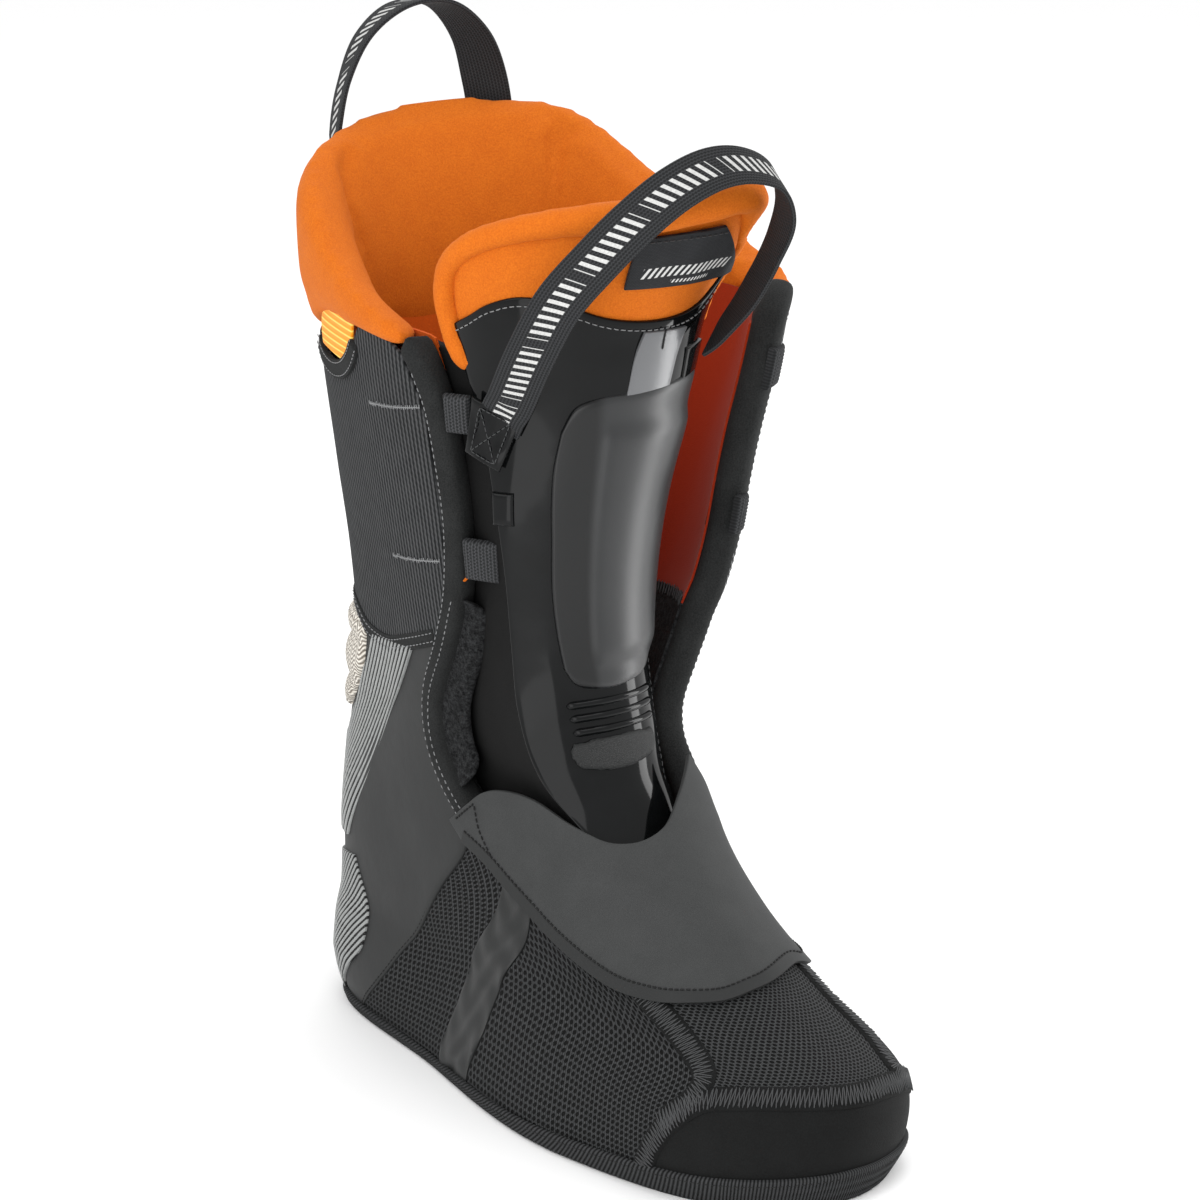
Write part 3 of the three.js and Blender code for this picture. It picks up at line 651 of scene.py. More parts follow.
def orange_microfibre():
    f = Finish("orange_microfibre", "#d76c14", 0.8, Sheen_Weight=0.1, Sheen_Roughness=0.5,
               Specular_IOR_Level=0.15)
    f.shader.inputs["Sheen Tint"].default_value = rgb("#ffb066")
    nap, fine = f.noise(9, 2), f.noise(0.6, 2)
    tone = f.mixed(fine, 0.8, nap, 0.2)
    f.colour(f.blend(f.step(tone, 0.25, 0.75), "#bb590f", "#ce6c16"))
    f.bump(fine, 0.2, 0.9)
    f.bump(nap, 0.5, 0.25)
    return f.material


def lining(name, top, low, z_low, z_high):
    """Brushed cloth with painted shade: its colour darkens from the collar down into the boot, where less
    light reaches.
    """
    f = Finish(name, top, 0.9, Sheen_Weight=0.08, Specular_IOR_Level=0.1)
    z = f.node("SeparateXYZ", {0: f.place()}).outputs[2]
    fine = f.noise(0.6, 2)
    # Painted shade: below z_high the colour falls to the low shade colour, reached at z_low; flecks lean to
    # that shade colour too.
    ground = f.blend(f.step(z, z_low, z_high), low, top)
    f.colour(f.blend(f.math("MULTIPLY", fine, 0.45), ground, low))
    f.bump(fine, 0.15, 0.7)
    return f.material


def cuff_knit():
    """Upright ribs of small loops, each rib a half step above its neighbour."""
    f = Finish("cuff_knit", "#2c2d2e", 0.88, Specular_IOR_Level=0.15)
    x, y = f.weave()
    rib = f.wave(x, KNIT_RIB)
    column = f.math("FLOOR", f.math("DIVIDE", x, KNIT_RIB))
    loop = f.wave(f.math("MULTIPLY_ADD", column, KNIT_LOOP * 0.37, y), KNIT_LOOP)
    height = f.math("MULTIPLY", rib, f.math("MULTIPLY_ADD", loop, 0.45, 0.55))
    tone = f.mixed(f.noise(5, 3), 0.25, height, 0.85)
    f.colour(f.blend(f.step(tone, 0.05, 0.95), "#131415", "#4d4e4f"))
    f.bump(height, 0.4, 1.0)
    return f.material


def film(name, dark, light, roughness, wrinkle=0.3):
    """Bonded film with a satin face and faint wrinkles."""
    f = Finish(name, light, roughness, Specular_IOR_Level=0.25)
    broad, fine = f.noise(26, 3), f.noise(0.9, 2)
    tone = f.mixed(fine, 0.35, broad, 0.65)
    f.colour(f.blend(tone, dark, light))
    f.roughness(broad, roughness - 0.06, roughness + 0.1)
    f.bump(broad, 2.0, wrinkle)
    f.bump(fine, 0.05, 0.7)
    return f.material


def silver_ribs():
    """Silver print on raised ribs, with rows of dark holes between them."""
    f = Finish("silver_ribs", "#9a9c9b", 0.5, Specular_IOR_Level=0.3)
    x, y = f.weave()
    top = f.step(f.wave(x, RIB_PITCH), 0.3, 0.55)
    dots = f.step(f.wave(y, 1.3), 0.35, 0.75)
    groove = f.blend(dots, "#050505", "#2e2f2f")
    vein = f.mixed(f.wave(f.math("ADD", x, y), 0.6), 0.4, f.noise(3, 2), 0.6)
    f.colour(f.blend(top, groove, f.blend(vein, "#757776", "#a9abaa")))
    f.roughness(top, 0.85, 0.45)
    f.bump(dots, 0.15, 0.7)
    return f.material


def chunky_knit():
    """Thick braided yarn: two slanted sets of strands with dark gaps between them."""
    f = Finish("chunky_knit", "#cfc8bb", 0.9, Sheen_Weight=0.2, Specular_IOR_Level=0.2)
    x, y = f.weave()
    bend = f.math("SUBTRACT", f.wave(x, 4.4), 0.5)
    slant = f.math("MULTIPLY_ADD", bend, 2.6, y)
    strand = f.wave(slant, 1.9)
    column = f.wave(x, 2.2)
    height = f.math("MULTIPLY", f.math("MULTIPLY_ADD", column, 0.5, 0.5), strand)
    tone = f.mixed(f.noise(1.2, 3), 0.35, height, 0.85)
    f.colour(f.blend(f.step(tone, 0.08, 0.75), "#6d6458", "#efe9de"))
    f.bump(height, 0.8, 1.0)
    f.bump(f.noise(0.4, 3), 0.15, 0.6)
    return f.material


def hex_mesh(name="hex_mesh", pitch=2.3, stretch=1.2, dark="#111212", light="#414243"):
    """Knitted mesh: three waves 120 degrees apart leave a honeycomb of open cells."""
    f = Finish(name, dark, 0.85, Specular_IOR_Level=0.15)
    x, y = f.weave()
    y = f.math("DIVIDE", y, stretch)
    total = f.wave(y, pitch)
    for across in (0.8660, -0.8660):
        slanted = f.math("MULTIPLY_ADD", x, across, f.math("MULTIPLY", y, 0.5))
        total = f.math("ADD", total, f.wave(slanted, pitch))
    cell = f.step(total, 1.15, 1.9)
    yarn = f.wave(f.math("ADD", x, f.math("MULTIPLY", y, 0.6)), pitch * 0.5)
    tone = f.mixed(yarn, 0.65, f.noise(3, 3), 0.4)
    f.colour(f.blend(cell, f.blend(tone, dark, light), "#060606"))
    f.bump(f.math("SUBTRACT", 1.0, cell), 0.5, 1.0)
    f.bump(yarn, 0.12, 0.6)
    return f.material


def stretch_cloth(name, dark, light, grain=0.45, depth=0.14, roughness=0.85):
    """Fine neoprene-backed cloth."""
    f = Finish(name, light, roughness, Specular_IOR_Level=0.2)
    fine, patch = f.noise(grain, 2), f.noise(12, 2)
    tone = f.mixed(fine, 0.7, patch, 0.3)
    f.colour(f.blend(f.step(tone, 0.25, 0.75), dark, light))
    f.bump(fine, depth, 0.8)
    return f.material


def fleece():
    f = Finish("black_fleece", "#3a3b3c", 0.97, Sheen_Weight=0.1, Sheen_Roughness=0.6,
        Specular_IOR_Level=0.05)
    f.shader.inputs["Sheen Tint"].default_value = rgb("#777777")
    fur, clump = f.noise(0.7, 4, rough=0.75), f.noise(1.8, 3)
    tone = f.mixed(clump, 0.4, fur, 0.6)
    f.colour(f.blend(f.step(tone, 0.34, 0.7), "#070708", "#3a3b3c"))
    f.bump(fur, 0.8, 1.0)
    f.bump(clump, 0.9, 0.6)
    return f.material


def gloss_shell():
    f = Finish("gloss_shell", "#0c0d0e", 0.09, Specular_IOR_Level=0.18)
    broad, haze = f.noise(38, 2), f.noise(9, 3)
    f.colour(f.blend(haze, "#070808", "#0f1011"))
    f.roughness(haze, 0.05, 0.12)
    f.bump(broad, 1.6, 0.35)
    return f.material


def satin_plate(name, dark, light, roughness=0.36, painted_shade=None):
    f = Finish(name, light, roughness, Specular_IOR_Level=0.4)
    broad, fine = f.noise(30, 2), f.noise(0.35, 2)
    ground = f.blend(broad, dark, light)
    # Painted shade: left of the weave's middle, the side of the ridge turned from the light takes the
    # darker shade colour.
    if painted_shade:
        ground = f.blend(f.step(f.weave()[0], -4.5, 0.5), painted_shade, ground)
    f.colour(ground)
    f.roughness(fine, roughness - 0.05, roughness + 0.08)
    f.bump(fine, 0.03, 0.6)
    return f.material


def leather_pad():
    f = Finish("leather_pad", "#2f3030", 0.6, Specular_IOR_Level=0.3)
    grain, fine = f.cells(0.6), f.noise(0.4, 3)
    pebble = f.step(grain, 0.02, 0.25)
    f.colour(f.blend(pebble, "#191a1a", "#303131"))
    f.bump(pebble, 0.15, 0.8)
    f.bump(fine, 0.05, 0.6)
    return f.material


def webbing(name="webbing", printed=False, rib=1.2, light="#3c3d3f"):
    """Woven tape with ribs along it, and where printed, a row of slanted pale bars."""
    f = Finish(name, light, 0.75, Specular_IOR_Level=0.15)
    x, y = f.weave()
    along = f.wave(x, rib)
    column = f.math("FLOOR", f.math("DIVIDE", x, rib))
    pick = f.wave(f.math("MULTIPLY_ADD", column, rib / 2, y), rib)
    height = f.math("MULTIPLY", f.math("MULTIPLY_ADD", along, 0.7, 0.3),
                    f.math("MULTIPLY_ADD", pick, 0.6, 0.4))
    ground = f.blend(height, "#0b0c0c", light)
    if printed:
        lean = f.math("MULTIPLY_ADD", x, 0.5, y)
        bar = f.math("MULTIPLY", f.step(f.wave(lean, BAR_PITCH), 0.52, 0.64),
                     f.step(f.wave(lean, BAR_GROUP), 0.04, 0.05))
        inside = f.math("SUBTRACT", 1.0, f.step(f.math("ABSOLUTE", x), BAR_REACH - 0.3, BAR_REACH))
        ink = f.math("MULTIPLY", f.math("MULTIPLY", bar, inside),
                     f.math("MULTIPLY_ADD", f.noise(0.8, 3), 0.5, 0.55))
        ground = f.blend(ink, ground, "#d4d4d2")
    f.colour(ground)
    f.bump(height, 0.22, 0.9)
    return f.material


def ribbed_tape():
    f = Finish("ribbed_tape", "#303132", 0.8, Specular_IOR_Level=0.15)
    x, y = f.weave()
    f.colour(f.blend(f.wave(x, TAPE_PITCH), "#060606", "#3c3d3e"))
    f.bump(f.wave(y, 0.7), 0.12, 0.7)
    return f.material


def sole_board():
    f = Finish("sole_board", "#2c2c2d", 0.92, Specular_IOR_Level=0.15)
    fibre, patch = f.noise(0.8, 4, rough=0.7), f.noise(18, 2)
    tone = f.mixed(fibre, 0.7, patch, 0.3)
    f.colour(f.blend(f.step(tone, 0.3, 0.7), "#141415", "#464647"))
    f.bump(fibre, 0.25, 0.8)
    return f.material


def fibre_board():
    f = Finish("fibre_board", "#a39985", 0.9)
    fibre = f.noise(1.2, 4, rough=0.7)
    f.colour(f.blend(f.step(fibre, 0.3, 0.7), "#6f6656", "#bfb59f"))
    f.bump(fibre, 0.2, 0.7)
    return f.material


def yellow_mesh():
    f = Finish("yellow_mesh", "#f7a21b", 0.75, Sheen_Weight=0.1, Specular_IOR_Level=0.2)
    x, y = f.weave()
    line = f.wave(y, 2.6)
    thread = f.wave(x, 1.1)
    f.colour(f.blend(f.step(line, 0.7, 0.95), f.blend(thread, "#e27f00", "#fba312"), "#ffd060"))
    f.bump(line, 0.3, 0.7)
    f.bump(thread, 0.12, 0.5)
    return f.material


def woven_label():
    """Dark satin weave with two rows of small pale bars woven in."""
    f = Finish("woven_label", "#2b2c2e", 0.75, Specular_IOR_Level=0.2)
    x, y = f.weave()
    pick = f.math("MULTIPLY", f.wave(x, 0.42), f.wave(y, 0.5))
    ground = f.blend(f.mixed(pick, 0.6, f.noise(9, 2), 0.4), "#161718", "#3c3d40")
    for low, high, left, right, pitch in ((309.6, 313.2, 5, 36, 2.1), (307.0, 308.2, 16, 30, 1.3)):
        row = f.math("MULTIPLY", f.step(y, low, low + 0.2), f.math("SUBTRACT", 1.0, f.step(y, high,
            high + 0.2)))
        span = f.math("MULTIPLY", f.step(x, left, left + 0.3), f.math("SUBTRACT", 1.0, f.step(x, right,
            right + 0.3)))
        bars = f.step(f.wave(f.math("MULTIPLY_ADD", y, -0.25, x), pitch), 0.45, 0.65)
        ground = f.blend(f.math("MULTIPLY", f.math("MULTIPLY", row, span), bars), ground, "#cfcfcd")
    f.colour(ground)
    f.bump(pick, 0.1, 0.8)
    return f.material


def thread(name, colour):
    f = Finish(name, colour, 0.7, Specular_IOR_Level=0.2)
    f.colour(f.blend(f.math("MULTIPLY", f.noise(1.5, 2), 0.5), colour, "#2a2a2a"))
    f.bump(f.wave(f.node("SeparateXYZ", {0: f.place()}).outputs[2], 0.35), 0.05, 0.5)
    return f.material


KNIT_RIB, KNIT_LOOP = 2.3, 2.6
RIB_PITCH = 3.1
TAPE_PITCH = 1.7
# The strap's print: pitch of the bars and of their groups, and their reach from the middle.
BAR_PITCH, BAR_GROUP, BAR_REACH = 3.4, 30.6, 3.7

ORANGE = orange_microfibre()
# Both linings darken downwards by painted shade; the inner side's red is the orange cloth reddened by
# painted shade.
ORANGE_LINING = lining("orange_lining", "#cf5a10", "#7c2a0a", 150, 275)
LINING_RED_BY_PAINTED_SHADE = lining("red_lining", "#9c2f0d", "#86230c", 150, 300)
KNIT = cuff_knit()
QUARTER_FILM = film("quarter_film", "#212222", "#282929", 0.55)
BAND_FILM = film("band_film", "#191a1a", "#262727", 0.45, 0.4)
MARGIN_FILM = film("margin_film", "#1c1d1d", "#272828", 0.55, 0.2)
SILVER = silver_ribs()
CHUNKY = chunky_knit()
MESH = hex_mesh()
TOE_MESH = hex_mesh("toe_mesh", pitch=1.8, stretch=0.8, dark="#191a1a", light="#464748")
NEOPRENE = stretch_cloth("toe_neoprene", "#070707", "#121313", 0.5, 0.2)
BINDING = stretch_cloth("edge_neoprene", "#111212", "#272828", 0.5, 0.12)
TONGUE_SIDE = stretch_cloth("tongue_side_cloth", "#040404", "#0d0d0d", 0.5, 0.1)
INSTEP = stretch_cloth("instep_microfibre", "#303131", "#3b3c3c", 0.35, 0.07, 0.7)
FLEECE = fleece()
GLOSS = gloss_shell()
# The plate's last colour is painted shade over its left side, beside the ridge.
PLATE = satin_plate("shin_plate_satin", "#222324", "#2a2b2c", 0.33, "#090a0b")
# A painted reflection: pale grey satin laid on the tongue where the gloss shell only reflects light.
PAINTED_REFLECTION_STRIP = satin_plate("tongue_strip", "#5a5b5d", "#6c6d6f", 0.22)
LEATHER = leather_pad()
LABEL = woven_label()
WEBBING = webbing()
PRINTED = webbing("printed_webbing", printed=True)
LOOP_TAPE = webbing("loop_tape", rib=1.3, light="#4c4d4f")
TAPE = ribbed_tape()
BOARD = sole_board()
FIBRE = fibre_board()
YELLOW = yellow_mesh()
GREY_THREAD = thread("grey_thread", "#8e8f90")
DARK_THREAD = thread("dark_thread", "#454647")
BLACK_THREAD = thread("black_thread", "#161616")

# ---------------------------------------------------------------- lines on the skin

# Seams of the foot part as [turn, height], for the outer side; negative() gives the inner.
QUARTER_SEAM = [(0.130, 1), (0.152, 17), (0.177, 42), (0.215, 68), (0.25, 87), (0.262, 97)]
BAND_BACK = [(0.200, 1), (0.212, 24), (0.228, 48), (0.268, 73), (0.285, 86)]
BAND_FRONT = [(0.226, 1), (0.237, 25), (0.250, 46), (0.283, 65), (0.302, 80)]
VAMP_FRONT = [(0.345, 2), (0.362, 28), (0.384, 40), (0.391, 46), (0.383, 55), (0.368, 64)]
VAMP_FRONT_INNER = [(0.655, 2), (0.632, 20), (0.600, 31), (0.576, 39), (0.590, 50), (0.597, 66)]
BUMPER_TOP = [(0.352, 6), (0.357, 18), (0.366, 28), (0.386, 37.5), (0.417, 40), (0.46, 40),
              (0.5, 39), (0.555, 36.5), (0.596, 31), (0.632, 20), (0.648, 6)]
TOE_TOP = [(0.372, 62), (0.405, 64), (0.438, 65), (0.487, 68), (0.56, 69), (0.592, 66)]
TOE_BOTTOM = [(0.388, 40), (0.417, 40), (0.46, 40), (0.5, 39), (0.555, 36.5), (0.575, 37)]
# The instep cover's lower and upper borders, from its outer corner to its inner one.
COVER_BOTTOM = [(0.256, 92), (0.272, 88), (0.292, 79), (0.315, 69), (0.345, 62), (0.372, 61), (0.405, 62),
    (0.438, 63), (0.487, 66), (0.567, 67), (0.62, 62), (0.66, 62), (0.7, 72), (0.736, 90)]
COVER_TOP_OUTER = [(0.248, 98), (0.272, 107), (0.297, 114.5), (0.330, 117.5), (0.355, 116.5),
                   (0.383, 111), (0.41, 107), (0.44, 106.5), (0.465, 108), (0.495, 111.5),
                   (0.530, 118), (0.560, 123), (0.592, 127)]
COVER_TOP_INNER = [(0.592, 127), (0.606, 118), (0.625, 108), (0.66, 103), (0.7, 101), (0.748, 98)]

# Front edges of the two flaps, and the edge of the fleece inside the outer one.
FLAP_FRONT = {
    "lateral": [(0.268, 101), (0.255, 112), (0.250, 124), (0.258, 142), (0.288, 165),
                (0.31, 185), (0.32, 209), (0.32, 236), (0.315, 260), (0.305, 273), (0.290, 283)],
    "medial": [(0.360, 101), (0.368, 108), (0.376, 124), (0.370, 143), (0.393, 172),
               (0.400, 195), (0.402, 215), (0.404, 240), (0.405, 258), (0.402, 271), (0.393, 280),
               (0.374, 286), (0.345, 289)],
}
KNIT_FRONT = {
    "lateral": [(0.276, 165), (0.295, 185), (0.304, 209), (0.304, 236), (0.300, 258), (0.283, 277)],
    "medial": [(0.383, 167), (0.387, 195), (0.390, 235), (0.390, 258), (0.382, 275)],
}
HEM_BACK = [(0, 163), (0.09, 161.5), (0.125, 160), (0.142, 157), (0.16, 153.5)]
KNIT_BOTTOM = {
    "lateral": HEM_BACK + [(0.2, 153), (0.235, 158), (0.276, 165)],
    "medial": HEM_BACK + [(0.23, 153), (0.3, 157), (0.383, 167)],
}
KNIT_TOP = {
    "lateral": [(0, 268), (0.11, 268), (0.14, 266), (0.168, 261), (0.19, 263.5), (0.21, 270),
                (0.228, 281), (0.25, 285), (0.283, 277)],
    "medial": [(0, 268), (0.11, 266), (0.2, 279), (0.3, 285), (0.345, 283), (0.382, 275)],
}
FILM_FRONT = {
    "lateral": QUARTER_SEAM + [(0.254, 109), (0.244, 124), (0.250, 142), (0.272, 160), (0.276, 166)],
    "medial": QUARTER_SEAM[:5] + [(0.290, 97), (0.350, 105), (0.368, 124), (0.364, 143), (0.379, 162),
                                  (0.383, 168)],
}

COLLAR_BASE = [(-0.4, 279), (-0.3, 280), (-0.2, 277), (-0.11, 268), (0, 266), (0.10, 267),
               (0.14, 275), (0.175, 280.5), (0.22, 281), (0.26, 280), (0.3, 277)]
COLLAR_CREST = [(-0.4, 284), (-0.34, 287), (-0.3, 291), (-0.27, 295), (-0.17, 319), (-0.1, 338), (0, 343),
                (0.09, 335), (0.145, 323), (0.19, 306), (0.23, 296), (0.265, 290), (0.3, 284)]


def profile(stops, at):
    """A rounded curve through (place, value) stops."""
    return rows_at(np.array(stops, float), np.asarray(at, float).ravel())[:, 1].reshape(np.shape(at))


def framed(bottom, top, left, right):
    """A patch within four lines that meet at their ends."""
    b, t, l, r = (as_line(x) for x in (bottom, top, left, right))

    def at(u, v):
        corners = [np.array([f(e)[k] for k in (0, 1)]) for f, e in ((b, 0), (b, 1), (t, 0), (t, 1))]
        out = []
        for k in (0, 1):
            straight = ((1 - v) * ((1 - u) * corners[0][k] + u * corners[1][k])
                        + v * ((1 - u) * corners[2][k] + u * corners[3][k]))
            out.append((1 - v) * b(u)[k] + v * t(u)[k] + (1 - u) * l(v)[k] + u * r(v)[k] - straight)
        return tuple(out)
    return at


def side_frame(sign, bottom, top, front):
    """The patch from the back centre line to a front line, on either side."""
    back = [bottom[0], top[0]]
    if sign > 0:
        return framed(bottom, top, back, front)
    flip = lambda stops: negative(stops)[::-1]
    return framed(flip(bottom), flip(top), negative(front), negative(back))


def signed(sign, stops):
    return stops if sign > 0 else negative(stops)


def plain_sides(sign, sides):
    """Border letters for the outer side, swapped left to right for the inner one."""
    return sides if sign > 0 else sides.translate(str.maketrans("lr", "rl"))


def section_for(sign, section):
    """A section whose first coordinate points to the heel on either side."""
    return section if sign > 0 else [(-x, y) for x, y in section][::-1]


def turn_at(z, stops):
    """The turn where a line of stops is at a height."""
    turns, heights = zip(*stops)
    return np.interp(z, heights, turns)


def raised(stops, up):
    return [(turn, z + up) for turn, z in stops]


# ---------------------------------------------------------------- sole

def tape_top(turn):
    """Height of the sole tape's upper edge round the foot."""
    away = np.abs((np.asarray(turn) + 0.5) % 1 - 0.5)
    return np.interp(away, (0, 0.12, 0.2, 0.25, 0.3, 0.4, 0.5), (6, 4.8, 4.2, 5.5, 8, 12, 13.5))


# The outsole board's edge as [inset, height].
BOARD_EDGE = [(9, 0.4), (4, 0.05), (2.2, 0), (1.2, 0.7), (0.9, 2), (1.1, 3.3), (2.2, 4), (9, 4)]
SOLE_STITCH_INSET = 6


def sole():
    rings = []
    for inset, z in BOARD_EDGE:
        turn = np.linspace(0, 1, 220, endpoint=False)
        p = skin(turn, 0 * turn, -inset + 0 * turn)
        p[:, 2] = z
        rings.append(p)
    piece = swept("outsole_board", rings, BOARD)
    settle(piece, "root", "sole_rubber", "outsole")
    seam = stitches("outsole_stitching", lambda t: (np.asarray(t) % 1 * 0.999, 0 * np.asarray(t)),
        DARK_THREAD, surface=lambda u, z, d: flat_sole(u, d), pitch=4.2, length=2.8, radius=0.35)
    settle(seam, "root", "sole_rubber")
    ribs = lambda turn, z, x, y: 0.34 * np.abs(np.sin(math.pi * x / TAPE_PITCH)) ** 0.7
    area = lambda u, v: (u * 0.9995, 0.6 + (tape_top(u) - 0.6) * v)
    tape = wall("sole_binding_tape", area, 1.7, 1.6, TAPE, pitch=(0.42, 1.6), radius=0.7,
                plain="lr", relief=ribs)
    settle(tape, "root", "ribbed_tape", "sole_binding")
    edge = stitches("sole_binding_stitching", lambda t: (np.asarray(t) * 0.999, tape_top(t) - 1.6),
                    BLACK_THREAD, depth=1.9, pitch=2.6, length=1.6, radius=0.22)
    settle(edge, "root", "ribbed_tape")
    for name, material in (("sole_board", FIBRE), ("footbed", FLEECE)):
        dress(name, material)


def flat_sole(turn, depth):
    """The underside of the sole, where its stitches run inside its edge."""
    p = skin(turn, 0 * np.asarray(turn), -SOLE_STITCH_INSET + 0 * np.asarray(turn))
    p[..., 2] = 0.35 - depth
    return p


def dress(node, material):
    """Gives a CAD node that stays in view its material."""
    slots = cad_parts[node].data.materials
    slots.clear()
    slots.append(material)


# ---------------------------------------------------------------- foot part

def foot_covers():
    stands = {"lateral": ("quarter_lateral", "lateral_flap_foam", "heel_foam"),
              "medial": ("quarter_medial", "medial_flap_foam", "heel_panel", "cuff_back_foam")}
    for name, sign in SIDES:
        front = FILM_FRONT[name]
        area = side_frame(sign, [(0, 1), front[0]], [(0, 160), front[-1]], front)
        film = wall(f"quarter_film_{name}", area, 0, 1.2,
                     QUARTER_FILM, pitch=(2.2, 2.2), plain=plain_sides(sign, "lb"), relief=ankle_pad)
        settle(film, name, "quarter_film", *stands[name])
        mesh = wall(f"hex_mesh_{name}", sided(sign, QUARTER_SEAM, BAND_BACK), -0.25, 1.2, MESH,
                    plain="bt")
        settle(mesh, "root", "hex_mesh", f"vamp_mesh_{name}")
        band = wall(f"forefoot_band_{name}_film", sided(sign, BAND_BACK, BAND_FRONT), 0.15, 1.0,
                    BAND_FILM, pitch=(1.2, 1.2), plain="bt", relief=band_waves, radius=0.3)
        settle(band, "root", "grey_film", f"forefoot_band_{name}")
        edge = stitches(f"quarter_seam_{name}", signed(sign, QUARTER_SEAM), BLACK_THREAD, depth=0.1,
                        offset=sign * 1.3, pitch=2.4, length=1.5, radius=0.18)
        settle(edge, "root", "quarter_film")


def vamp():
    """The mesh over the front of the foot, the toe bumper and the panel above it."""
    lateral = wall("vamp_mesh_outer", between(BAND_FRONT, VAMP_FRONT), -0.25, 1.2, MESH, plain="bt")
    settle(lateral, "root", "hex_mesh", "vamp_lateral", "forefoot_foam")
    medial_back = [(1 - turn, z) for turn, z in BAND_FRONT]
    medial = wall("vamp_mesh_inner", between(VAMP_FRONT_INNER, medial_back), -0.25, 1.2, MESH, plain="bt")
    settle(medial, "root", "hex_mesh", "vamp_medial")
    bumper_foot = [(0.352, 2), (0.42, 1.5), (0.5, 1.5), (0.58, 1.5), (0.648, 2)]
    bumper = wall("toe_bumper_cloth", stacked(bumper_foot, BUMPER_TOP), 0, 1.5, NEOPRENE, plain="b")
    settle(bumper, "root", "toe_neoprene", "toe_bumper")
    fine = wall("toe_panel_mesh", stacked(TOE_BOTTOM, TOE_TOP), 0, 1.4, TOE_MESH, plain="blrt")
    settle(fine, "root", "toe_neoprene", "toe_panel")


OVERLOCK_ARCH = [(-4.4, -0.2), (4.4, -0.2), (3.6, 0.5), (1.6, 1.05), (-1.6, 1.05), (-3.6, 0.5)]


def toe_seams():
    """Overlocked seams round the toe: a low rounded band crossed by threads."""
    for name, line in (("outer", VAMP_FRONT[1:]), ("front", BUMPER_TOP), ("inner", VAMP_FRONT_INNER[2:])):
        band = trim(f"overlock_band_{name}", line, OVERLOCK_ARCH, NEOPRENE, ends=3)
        settle(band, "root", "toe_neoprene")
        sewn = overlock(f"overlock_thread_{name}", line, DARK_THREAD, depth=1.05, half=3.6,
                        pitch=0.8, radius=0.24)
        settle(sewn, "root", "toe_neoprene")


def ankle_pad(turn, z, x, y):
    """The soft bulge of the padding over the ankle bone."""
    return 1.6 * np.exp(-(((np.abs(turn) - 0.19) / 0.07) ** 2 + ((z - 100) / 34) ** 2))


def band_waves(turn, z, x, y):
    """Ripples left in the film band where it was pressed over the mesh."""
    return 0.5 * np.sin(y / 3.1 + 1.2 * np.sin(x / 4.0)) * np.sin(x / 2.6 + y / 9.0)


STRIPES_FRONT = [(0.122, 68), (0.138, 84), (0.162, 104), (0.188, 125), (0.212, 140), (0.241, 160)]
STRIPES_BACK = [(0.0, 62), (0.058, 84), (0.105, 106), (0.132, 124), (0.148, 138), (0.17, 156)]
# The lower panel's ribs: how many times closer than the upper's, and their run and rise.
LOWER_RIBS, RIB_RUN, RIB_RISE = 2.3, TURN_LENGTH / 1.3 * 0.85, 0.45


def heel_stripes():
    """Silver ribbed panels on the heel, above and below the film band."""
    lean = lambda turn, z, x, wide: LOWER_RIBS * (RIB_RUN * abs(turn) - RIB_RISE * z)
    for name, sign in SIDES:
        area = sided(sign, STRIPES_BACK, STRIPES_FRONT)
        upper = wall(f"heel_stripes_upper_{name}", area, 0.9, 0.9, SILVER,
                     pitch=(0.4, 1.2), relief=rib_tops, radius=0.25,
                     lay=lambda turn, z, x, wide: wide - x if sign > 0 else x)
        settle(upper, name, "silver_print")
        lower = wall(f"heel_stripes_lower_{name}", slanted_area(sign), 0.8, 0.9, SILVER, pitch=(0.4, 0.6),
            relief=rib_tops, radius=0.25, plain=plain_sides(sign, "l"), lay=lean)
        settle(lower, "root", "silver_print")


def rib_tops(turn, z, x, y):
    """Ribs in step with the silver print."""
    return 0.42 * np.clip(np.cos(TAU * x / RIB_PITCH) * 1.6 + 0.35, 0, 1)


PANEL_DROP = 15


def slanted_area(sign):
    """The lower panel: its ribs rise from the back centre line to the film's wavy border."""
    border = Line([(0.108, 4), (0.127, 17), (0.14, 28), (0.143, 38), (0.141, 48), (0.131, 62)])

    def at(u, rise):
        share = u if sign > 0 else 1 - u
        limit, z = border(rise)
        z = z - PANEL_DROP * (1 - share) * (0.35 + 0.65 * rise)
        return sign * limit * share, np.maximum(z, 1.5)
    return at


def achilles():
    """Chunky pale knit over the tendon, in three soft rolls."""
    side = [(0.115, 119), (0.132, 128), (0.146, 138), (0.154, 156)]
    area = framed([(-0.115, 119), (0, 115), (0.115, 119)], [(-0.154, 156), (-0.11, 162), (0, 166),
        (0.11, 162), (0.154, 156)], negative(side), side)
    stops = (117, 131, 149, 164)

    def rolls(turn, z, x, y):
        edge = np.clip(1 - (np.abs(turn) / 0.16) ** 6, 0, 1)
        place = np.interp(z, stops, (0, 1, 2, 3))
        size = np.interp(z, stops, (1.6, 2.8, 3.4, 1.4))
        hem = np.interp(np.abs(turn), *zip(*HEM_BACK))
        clear = np.clip((hem + 1 - z) / 4, 0, 1)
        return (0.5 + size * np.abs(np.sin(math.pi * place)) ** 0.7 * edge) * clear - 0.8 * (1 - clear)
    piece = wall("achilles_knit_pad", area, 1.0, 2.0, CHUNKY, pitch=(1.2, 1.2), relief=rolls, radius=0.8)
    settle(piece, "root", "silver_print", "achilles_knit")


